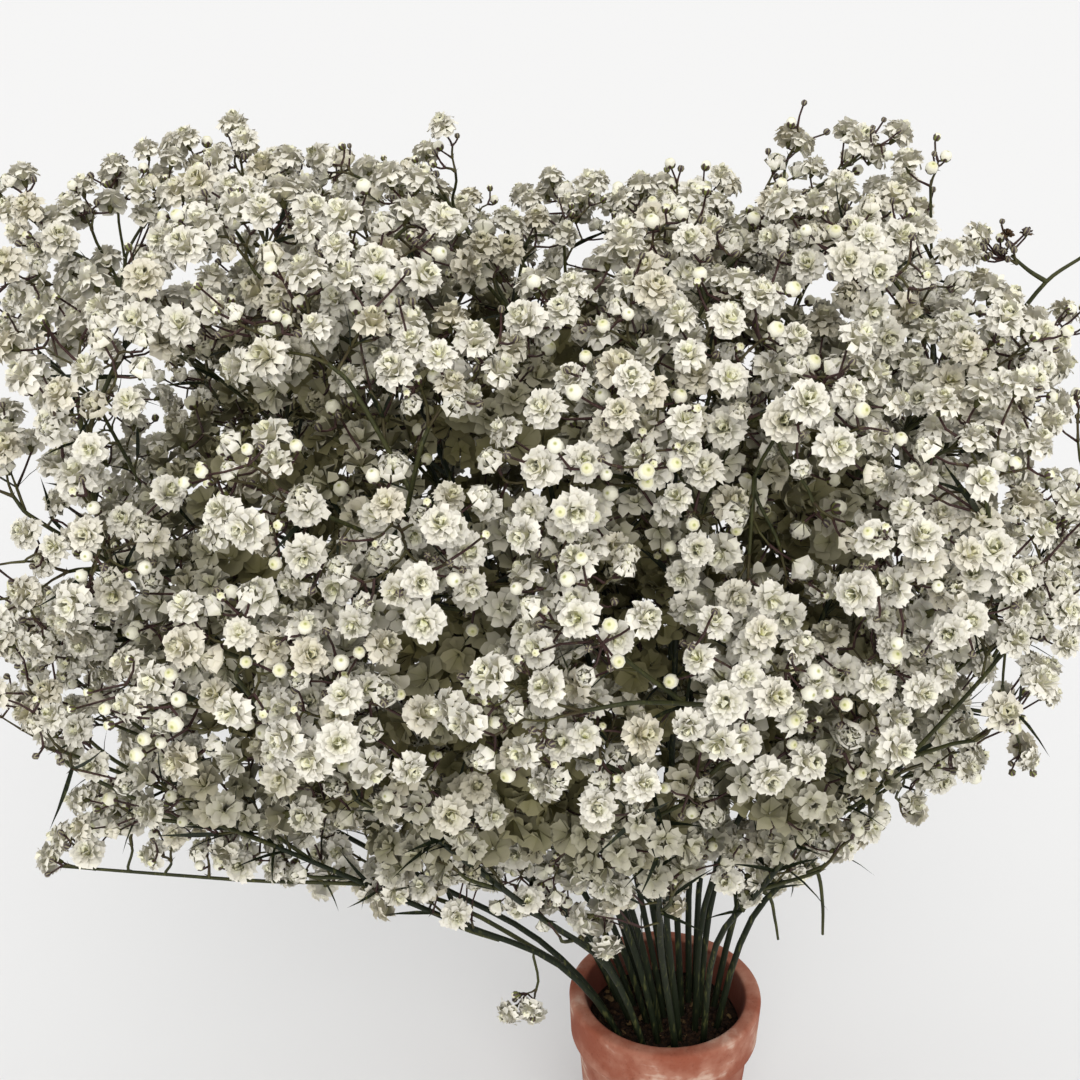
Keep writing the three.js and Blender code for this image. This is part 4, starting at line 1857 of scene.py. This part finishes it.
@dataclass
class SprayPiece:
    """One flowering stem, dressed: its stems as one piece, and its blooms and buds as another."""

    spray: Spray
    stem_path: list[Vector]
    branches: list[Branch]
    shoots: Shoots
    draws: Draws
    stem_radius: float = 1.25
    stem_tip: float = 0.65
    branch_radius: float = 0.62
    hub_radius: float = 0.46
    twig_radius: float = 0.4
    stalk_radius: float = 0.31
    leaf_length: Pair = (8, 17)
    leaf_from: float = 122
    leaf_first: int = 6
    leaf_every: int = 3
    blade_lean: Pair = (0.6, 1.1)
    bends: int = 4
    long_bends: int = 5
    aslant: float = 0.4
    follow: float = 0.3
    lift: float = 0.2
    fork_gap: float = 2.5
    least_twig: float = 4
    fork_share: float = 0.45
    fork_play: float = 0.15
    stray: float = 0.08
    ahead: float = 0.6
    thinner: float = 0.86
    stalk_flare: float = 1.1
    collar: float = 1.25
    curve: float = 0.36
    half_open_cup: float = 1.3
    limbs: list[Limb] = field(default_factory=list)
    nodes: list[tuple[Vector, Vector]] = field(default_factory=list)
    leaves: list[tuple[Vector, Vector]] = field(default_factory=list)
    wisps: list[tuple[Wisp, Twig]] = field(default_factory=list)
    tops: list[Twig] = field(default_factory=list)
    sides: list[Twig] = field(default_factory=list)

    def grow_stems(self) -> None:
        """Grows the main stem, the branches and the shoots along them, with no flowers yet."""
        path = smooth_path(self.stem_path, self.bends)
        self.limbs.append(Limb(Level.STEM, path, taper(self.stem_radius, self.stem_tip, len(path))))
        self.grow_sides(self.stem_path[2:], self.shoots.per_stem)
        for branch in self.branches:
            twig = self.shoots.end(branch)
            path = smooth_path([branch.fork.place, branch.knee, twig.hub], self.bends)
            radii = taper(self.branch_radius, self.hub_radius, len(path))
            self.limbs.append(Limb(Level.BRANCH, path, radii, twig))
            self.tops.append(twig)
            self.grow_sides([branch.fork.place, branch.knee, twig.hub], self.shoots.per_branch)

    def grow_sides(self, path: list[Vector], count: int) -> None:
        """Grows short shoots along a path.

        Args:
            path: the places of the stem or branch.
            count: how many shoots.
        """
        for start, twig in self.shoots.sides(path, count, self.draws):
            self.limb(Level.TWIG, start, twig.way, twig.hub, twig.way, self.twig_radius, self.twig_radius)
            self.limbs[-1].twig = twig
            self.sides.append(twig)

    def grow_along(self, places: tuple[Triple, ...], radii: Pair) -> None:
        """Grows a listed stem from the spray's nearest stem or branch.

        Args:
            places: the places that it passes.
            radii: its radius at the start and at the end.
        """
        first = Vector(places[0])
        joints = [place for limb in self.limbs if limb.level is not Level.TWIG for place in limb.path]
        start = min(joints, key=lambda joint: (joint - first).length)
        path = smooth_path([start, *map(Vector, places)], self.long_bends)
        self.limbs.append(Limb(Level.BRANCH, path, taper(*radii, len(path))))

    def grow_wisp(self, wisp: Wisp) -> None:
        """Grows a listed sprig from the stem or branch that lies about its length away.

        Args:
            wisp: the sprig.
        """
        target = Vector(wisp.place)
        runs = [run for limb in self.limbs if limb.level in (Level.STEM, Level.BRANCH)
                for run in zip(limb.path, limb.path[1:]) if run[0].z > self.spray.root.z]
        start, ahead = min(runs, key=lambda run: abs((run[0] - target).length - wisp.length)
                           + self.aslant * (run[0] - target).xy.length)
        leave = heading(start, ahead)
        way = (heading(start, target) + leave * self.follow + UP * self.lift).normalized()
        hub = target - way * wisp.radius
        self.limb(Level.BRANCH, start, leave, hub, way, self.hub_radius, self.twig_radius)
        twig = Twig(hub, way, target, way, wisp.radius, wisp.radius, free=True)
        self.wisps.append((wisp, twig))

    @property
    def twigs(self) -> list[Twig]:
        """Every twig of the spray."""
        return self.tops + self.sides + [twig for _, twig in self.wisps]

    def prune(self) -> None:
        """Takes off the shoots that carry no flower, and cuts bare branches back to their last fork."""
        for limb in reversed(self.limbs[:]):
            if limb.twig is None or limb.twig.flowers:
                continue
            starts = [other.path[0] for other in self.limbs if other is not limb]
            uses = [(i, start) for i, run in enumerate(zip(limb.path, limb.path[1:])) for start in starts
                    if gap_to_run(*run, start) < self.fork_gap
                    and (start - limb.path[0]).length > 2 * self.fork_gap]
            if uses:
                last, end = max(uses, key=lambda use: use[0])
                limb.path[last + 1:] = [end]
                limb.radii[last + 2:] = []
            else:
                self.limbs = [other for other in self.limbs if other is not limb]

    def set_leaves(self) -> None:
        """Sets the leaves: along the stem, where branches leave, and at the shoots' ends."""
        for limb in self.limbs:
            if limb.level is Level.STEM:
                runs = list(zip(limb.path, limb.path[1:]))[self.leaf_first::self.leaf_every]
            elif limb.twig is None:
                runs = []
            elif limb.level is Level.BRANCH:
                runs = [(limb.path[0], limb.path[1])]
            else:
                runs = [(limb.path[-1], limb.path[-1] + limb.twig.way)]
            self.leaves += [(place, heading(place, ahead)) for place, ahead in runs]

    def grow_stalks(self) -> None:
        """Grows a stalk to every flower."""
        for twig in self.twigs:
            if twig.flowers:
                self.nodes.append((twig.hub, twig.way))
                self.fork(twig.hub, twig.way, twig.flowers, self.twig_radius)

    def fork(self, start: Vector, way: Vector, flowers: list[Flower], radius: float) -> None:
        """Grows a fork: a stalk for a lone flower, and a thinner twig for each group.

        Args:
            start: the fork's place.
            way: the direction in which the stem arrives there.
            flowers: the flowers that grow from it.
            radius: the radius of its twigs.
        """
        for group in self.split(start, flowers):
            middle = sum((flower.foot for flower in group), Vector()) / len(group)
            if len(group) == 1 or (middle - start).length < self.least_twig:
                for flower in group:
                    self.stalk(start, way, flower)
                continue
            end = start.lerp(middle, self.fork_share + self.fork_play * self.draws.number())
            end += self.draws.way() * self.stray * (middle - start).length
            arrive = (heading(start, end) + heading(start, middle) * self.ahead).normalized()
            self.limb(Level.TWIG, start, way, end, arrive, radius, radius * self.thinner)
            self.nodes.append((end, arrive))
            self.fork(end, arrive, group, max(radius * self.thinner, self.stalk_radius * self.stalk_flare))

    def split(self, start: Vector, flowers: list[Flower]) -> list[list[Flower]]:
        """Parts flowers into the two groups that lie most apart.

        Args:
            start: the fork that they are seen from.
            flowers: the flowers.

        Returns:
            One or two groups.
        """
        if len(flowers) < 2:
            return [flowers]
        ways = [heading(start, flower.foot) for flower in flowers]
        pairs = ((ways[i].dot(ways[j]), i, j) for i in range(len(ways)) for j in range(i))
        _, first, second = min(pairs)
        groups: list[list[Flower]] = [[], []]
        for flower, way in zip(flowers, ways):
            groups[way.dot(ways[second]) > way.dot(ways[first])].append(flower)
        return [group for group in groups if group]

    def limb(self, level: Level, start: Vector, leave: Vector, end: Vector, arrive: Vector,
             low: float, high: float) -> None:
        """Adds a curved stretch of stem between two places.

        Args:
            level: its level.
            start: where it leaves.
            leave: the direction in which it leaves.
            end: where it ends.
            arrive: the direction in which it arrives.
            low: its radius at the start.
            high: its radius at the end.
        """
        reach = (end - start).length * self.curve
        path = interpolate_bezier(start, start + leave * reach, end - arrive * reach, end, level.points)
        radii = taper(low, high, len(path))
        radii[0] *= self.collar
        self.limbs.append(Limb(level, path, radii))

    def stalk(self, start: Vector, way: Vector, flower: Flower) -> None:
        """Adds the thin stalk of one flower."""
        leave = (way + heading(start, flower.foot)).normalized()
        self.limb(Level.STALK, start, leave, flower.foot, flower.axis,
                  self.stalk_radius * self.stalk_flare, self.stalk_radius)

    def stems(self, stock: Stock, finishes: Finishes) -> bpy.types.Object:
        """Makes the piece with the stems, cups, bracts and leaves.

        Args:
            stock: the templates.
            finishes: the materials.

        Returns:
            The piece.
        """
        sheaf = Sheaf(("hue",))
        sheaf.put_limbs(self.limbs)
        for twig in self.twigs:
            for flower in twig.flowers:
                if flower.kind.is_bloom and flower.kind is not Kind.CORE:
                    size = flower.size * (self.half_open_cup if flower.kind is Kind.HALF else 1)
                    sheaf.put(stock.calyx, Matrix.Translation(flower.place)
                              @ turned(flower.axis, flower.tone) @ Matrix.Scale(size, 4))
        for place, way in self.nodes:
            self.put_pair(sheaf, stock.bract, place, way, 1)
        for place, way in self.leaves:
            if place.z > self.leaf_from:
                self.put_pair(sheaf, stock.leaf, place, way, self.draws.between(*self.leaf_length))
        return sheaf.finish(f"{self.spray.name}_stems", [finishes.stems])

    def put_pair(self, sheaf: Sheaf, blade: bpy.types.Mesh, place: Vector, way: Vector,
                 size: float) -> None:
        """Adds two opposite leaves or bracts.

        Args:
            sheaf: the piece in the making.
            blade: the template of one.
            place: the node that they grow from.
            way: the stem's direction there.
            size: their scale.
        """
        spin = self.draws.between(0, math.pi)
        for turn in (spin, spin + math.pi):
            lean = Matrix.Rotation(-self.draws.between(*self.blade_lean), 4, "Y")
            sheaf.put(blade, Matrix.Translation(place) @ turned(way, turn) @ lean @ Matrix.Scale(size, 4))

    def blooms(self, stock: Stock, finishes: Finishes) -> bpy.types.Object:
        """Makes the piece with the blooms and buds.

        Args:
            stock: the templates.
            finishes: the materials.

        Returns:
            The piece.
        """
        sheaf = Sheaf(("heart", "tone", "shade"))
        for twig in self.twigs:
            for flower in twig.flowers:
                template = self.draws.pick(stock.shapes[flower.kind])
                spin = 2 * math.pi * self.draws.number()
                place = Matrix.Translation(flower.place) @ turned(flower.axis, spin)
                sheaf.put(template, place @ Matrix.Scale(flower.size, 4),
                          {"tone": TONES.get(flower.kind, flower.tone), "shade": flower.shade})
        return sheaf.finish(f"{self.spray.name}_blooms", [finishes.petals, finishes.buds])


@dataclass(frozen=True)
class Pot:
    """A small moulded clay pot with a raised band at its rim and three drain holes."""

    height: float = 70
    rim: float = 32
    mouth: float = 26.5
    foot: float = 24.5
    band: float = 17
    step: float = 3.2
    wall: float = 5
    floor: float = 7
    edge: float = 1.6
    drain: float = 2.5
    drain_circle: float = 11
    drain_turn: float = 30
    drill_length: float = 28
    drains: int = 3
    sides: int = 96
    edge_rounds: int = 3
    long_edge: float = 6
    cuts: int = 3
    merge: float = 0.01
    # How strong the painted shade inside the pot is, and how far past the mouth it reaches.
    damp: float = 0.85
    damp_past_mouth: float = 0.5
    drain_sides: int = 24

    def profile(self) -> list[Vector]:
        """The outline from the middle of the foot, up outside, and down inside to the floor.

        Returns:
            Its corners, in millimetres.
        """
        under = self.height - self.band
        corners = [(0, 0), (self.foot, 0), (self.rim - self.step, under), (self.rim - self.edge / 2, under),
                   (self.rim, self.height), (self.mouth, self.height), (self.foot - self.wall, self.floor),
                   (0, self.floor)]
        return [Vector((radius, 0, height)) for radius, height in corners]

    def make(self, finishes: Finishes) -> bpy.types.Object:
        """Builds the pot by spinning its outline, then rounds its edges and bores its drain holes.

        Args:
            finishes: the materials.

        Returns:
            The piece.
        """
        mesh = bmesh.new()
        damp = mesh.verts.layers.float.new("damp")
        corners = [mesh.verts.new(place * MM) for place in self.profile()]
        for pair in zip(corners, corners[1:]):
            mesh.edges.new(pair)
        bmesh.ops.bevel(mesh, geom=corners[1:-1], offset=self.edge * MM, offset_type="OFFSET",
                        segments=self.edge_rounds, profile=0.5, affect="VERTICES", material=-1)
        long = [edge for edge in mesh.edges if edge.calc_length() > self.long_edge * MM]
        bmesh.ops.subdivide_edges(mesh, edges=long, cuts=self.cuts)
        bmesh.ops.spin(mesh, geom=mesh.verts[:] + mesh.edges[:], cent=(0, 0, 0), axis=(0, 0, 1),
                       angle=2 * math.pi, steps=self.sides, use_merge=True)
        bmesh.ops.remove_doubles(mesh, verts=mesh.verts, dist=self.merge * MM)
        bmesh.ops.recalc_face_normals(mesh, faces=mesh.faces)
        # Painted shade: vertices inside the mouth and above the floor are marked, and the clay finish
        # darkens them.
        for vert in mesh.verts:
            radius = math.hypot(vert.co.x, vert.co.y) / MM
            inside = radius < self.mouth + self.damp_past_mouth and vert.co.z > self.floor / 2 * MM
            vert[damp] = self.damp if inside else 0
        made = as_mesh("pot_clay", mesh)
        made.materials.append(finishes.clay)
        made.shade_smooth()
        piece = as_object("pot_clay", made)
        self.bore(piece)
        return piece

    def bore(self, piece: bpy.types.Object) -> None:
        """Cuts the drain holes through the pot's foot.

        Args:
            piece: the pot.
        """
        mesh = bmesh.new()
        for i in range(self.drains):
            turn = 2 * math.pi * i / self.drains + math.radians(self.drain_turn)
            at = Matrix.Translation(Vector((math.cos(turn), math.sin(turn), 0)) * self.drain_circle * MM)
            bmesh.ops.create_cone(mesh, cap_ends=True, segments=self.drain_sides, radius1=self.drain * MM,
                                  radius2=self.drain * MM, depth=self.drill_length * MM, matrix=at)
        drills = as_object("drills", as_mesh("drills", mesh))
        cut = piece.modifiers.new("drain holes", "BOOLEAN")
        cut.object = drills
        cut.operation = "DIFFERENCE"
        cut.solver = "EXACT"
        bored = as_built(piece)
        piece.modifiers.clear()
        piece.data = bored
        bpy.data.meshes.remove(drills.data)


@dataclass(frozen=True)
class Compost:
    """Crumbly compost, heaped a little in the middle."""

    top: float = 58
    bottom: float = 7.4
    radius: float = 24.9
    bottom_radius: float = 18.9
    sides: int = 64
    crumbs: int = 420
    crumb: Pair = (0.5, 1.7)
    crumb_play: Pair = (0.75, 1.15)
    crumb_width: Pair = (0.6, 1)
    crumb_height: Pair = (0.5, 0.8)
    crumb_margin: float = 1.5
    sunk: float = 0.4
    raised: float = 0.3
    rings: tuple[float, ...] = (0.09, 0.12, 0.15, 0.21, 0.3)
    heaped: Pair = (-0.9, 0.5)
    edge: float = 0.5
    tone: float = 0.3
    seed: int = 606

    def make(self, finishes: Finishes) -> bpy.types.Object:
        """Builds the filling with a rough top, and strews crumbs on it.

        Args:
            finishes: the materials.

        Returns:
            The piece.
        """
        draws = Draws(self.seed)
        sheaf = Sheaf(("tone",))
        body = Template("filling", ("tone",))
        middle = Matrix.Translation((0, 0, (self.top + self.bottom) / 2))
        bmesh.ops.create_cone(body.mesh, cap_ends=True, segments=self.sides, radius1=self.bottom_radius,
                              radius2=self.radius, depth=self.top - self.bottom, matrix=middle)
        lid = [max(body.mesh.faces, key=lambda face: face.calc_center_median().z)]
        for share in self.rings:
            bmesh.ops.inset_region(body.mesh, faces=lid, thickness=self.radius * share, depth=0)
        for vert in body.mesh.verts:
            if vert.co.z > middle.translation.z and vert.co.xy.length < self.radius - self.edge:
                vert.co.z += draws.between(*self.heaped)
        filling = body.finish()
        sheaf.put(filling, Matrix.Identity(4), {"tone": self.tone})
        bpy.data.meshes.remove(filling)
        lump = Template("crumb", ("tone",))
        bmesh.ops.create_icosphere(lump.mesh, subdivisions=1, radius=1)
        for vert in lump.mesh.verts:
            vert.co *= draws.between(*self.crumb_play)
        crumb = lump.finish()
        for _ in range(self.crumbs):
            turn = 2 * math.pi * draws.number()
            out = (self.radius - self.crumb_margin) * math.sqrt(draws.number())
            size = draws.between(*self.crumb)
            height = self.top - self.sunk + self.raised * size
            place = Vector((out * math.cos(turn), out * math.sin(turn), height))
            shape = Matrix.Diagonal((size, size * draws.between(*self.crumb_width),
                                     size * draws.between(*self.crumb_height), 1))
            sheaf.put(crumb, Matrix.Translation(place) @ turned(draws.way(), 0) @ shape,
                      {"tone": draws.number()})
        bpy.data.meshes.remove(crumb)
        return sheaf.finish("compost_crumbs", [finishes.compost])


@dataclass(frozen=True)
class Studio:
    """A plain pale floor, soft light, and the camera at the photo's angle."""

    floor_width: float = 40
    floor_tone: float = 0.768
    sky: float = 0.92
    sun: float = 1.55
    sun_width: float = 45
    sun_turn: Pair = (55, 8)
    sun_tint: Triple = (1, 0.99, 0.97)
    floor_roughness: float = 0.9
    floor_specular: float = 0.1
    lens: float = 55.4
    sensor: float = 36
    clip: Pair = (0.01, 100)
    pitch: float = 25
    camera: Triple = (-41.74, -439.49, 440.74)

    def build(self) -> None:
        """Builds the floor, the light and the camera."""
        scene = bpy.context.scene
        scene.view_settings.view_transform = "Standard"
        mesh = bmesh.new()
        bmesh.ops.create_grid(mesh, x_segments=1, y_segments=1, size=self.floor_width / 2)
        made = as_mesh("floor", mesh)
        paint = NodeMaker("floor").set(Base_Color=(self.floor_tone,) * 3, Roughness=self.floor_roughness,
                                       Specular_IOR_Level=self.floor_specular)
        made.materials.append(paint)
        as_object("floor", made)

        world = bpy.data.worlds.new("studio")
        world.use_nodes = True
        sky = world.node_tree.nodes["Background"]
        sky.inputs["Color"].default_value = (1, 1, 1, 1)
        sky.inputs["Strength"].default_value = self.sky
        scene.world = world

        light = bpy.data.lights.new("key", "SUN")
        light.energy = self.sun
        light.angle = math.radians(self.sun_width)
        light.color = self.sun_tint
        as_object("key", light).rotation_euler = (*map(math.radians, self.sun_turn), 0)

        lens = bpy.data.cameras.new("camera")
        lens.lens = self.lens
        lens.sensor_width = self.sensor
        lens.clip_start, lens.clip_end = self.clip
        camera = as_object("camera", lens)
        camera.location = Vector(self.camera) * MM
        camera.rotation_euler = (math.radians(90 - self.pitch), 0, 0)
        scene.camera = camera


def report(piece: bpy.types.Object, node: str) -> None:
    """Declares a finished piece and logs it.

    Args:
        piece: the piece.
        node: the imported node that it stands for.
    """
    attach(piece, "root")
    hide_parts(node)
    triangles = sum(len(face.vertices) - 2 for face in piece.data.polygons)
    log.info("%s: %d triangles for %s", piece.name, triangles, node)


def main() -> None:
    """Builds every piece in order, and the studio round them."""
    logging.basicConfig(level=logging.INFO, format="%(message)s")
    Studio().build()
    finishes = Finishes.make()
    report(Pot().make(finishes), "pot")
    report(Compost().make(finishes), "compost")

    fan, crown, growth = Fan(), Crown(), Growth()
    sprays = fan.sprays()
    crown.set_tips(fan, sprays)
    apex, centre = Vector(fan.apex), Vector(crown.centre)
    pieces = []
    for number, spray in enumerate(sprays):
        branches = growth.branches(spray, apex, centre)
        draws = Draws(SPRAY_SEED + SPRAY_SEED_STEP * number)
        piece = SprayPiece(spray, growth.stem(spray, apex), branches, Shoots(), draws)
        piece.grow_stems()
        pieces.append(piece)
    wisps = Wisps()
    by_name = {piece.spray.name: piece for piece in pieces}

    def at(place: Triple) -> SprayPiece:
        """The spray that a place belongs to."""
        return by_name[fan.owner(sprays, Vector(place)).name]

    at(wisps.low_stem[-1]).grow_along(wisps.low_stem, wisps.thin)
    for wisp in wisps.leafy:
        at(wisp.place).grow_wisp(wisp)
    for place, stem in wisps.late_stems:
        at(place).grow_along(stem, wisps.thin)
    for wisp in wisps.dry:
        at(wisp.place).grow_wisp(wisp)

    Cover(crown).dress([twig for piece in pieces for twig in piece.tops],
                       [twig for piece in pieces for twig in piece.sides],
                       [pair for piece in pieces for pair in piece.wisps])
    stock = Stock.make()
    for piece in pieces:
        piece.prune()
        piece.set_leaves()
        piece.grow_stalks()
        report(piece.stems(stock, finishes), piece.spray.name)
        report(piece.blooms(stock, finishes), piece.spray.name)
    stock.clear()


if __name__ == "__main__":
    main()
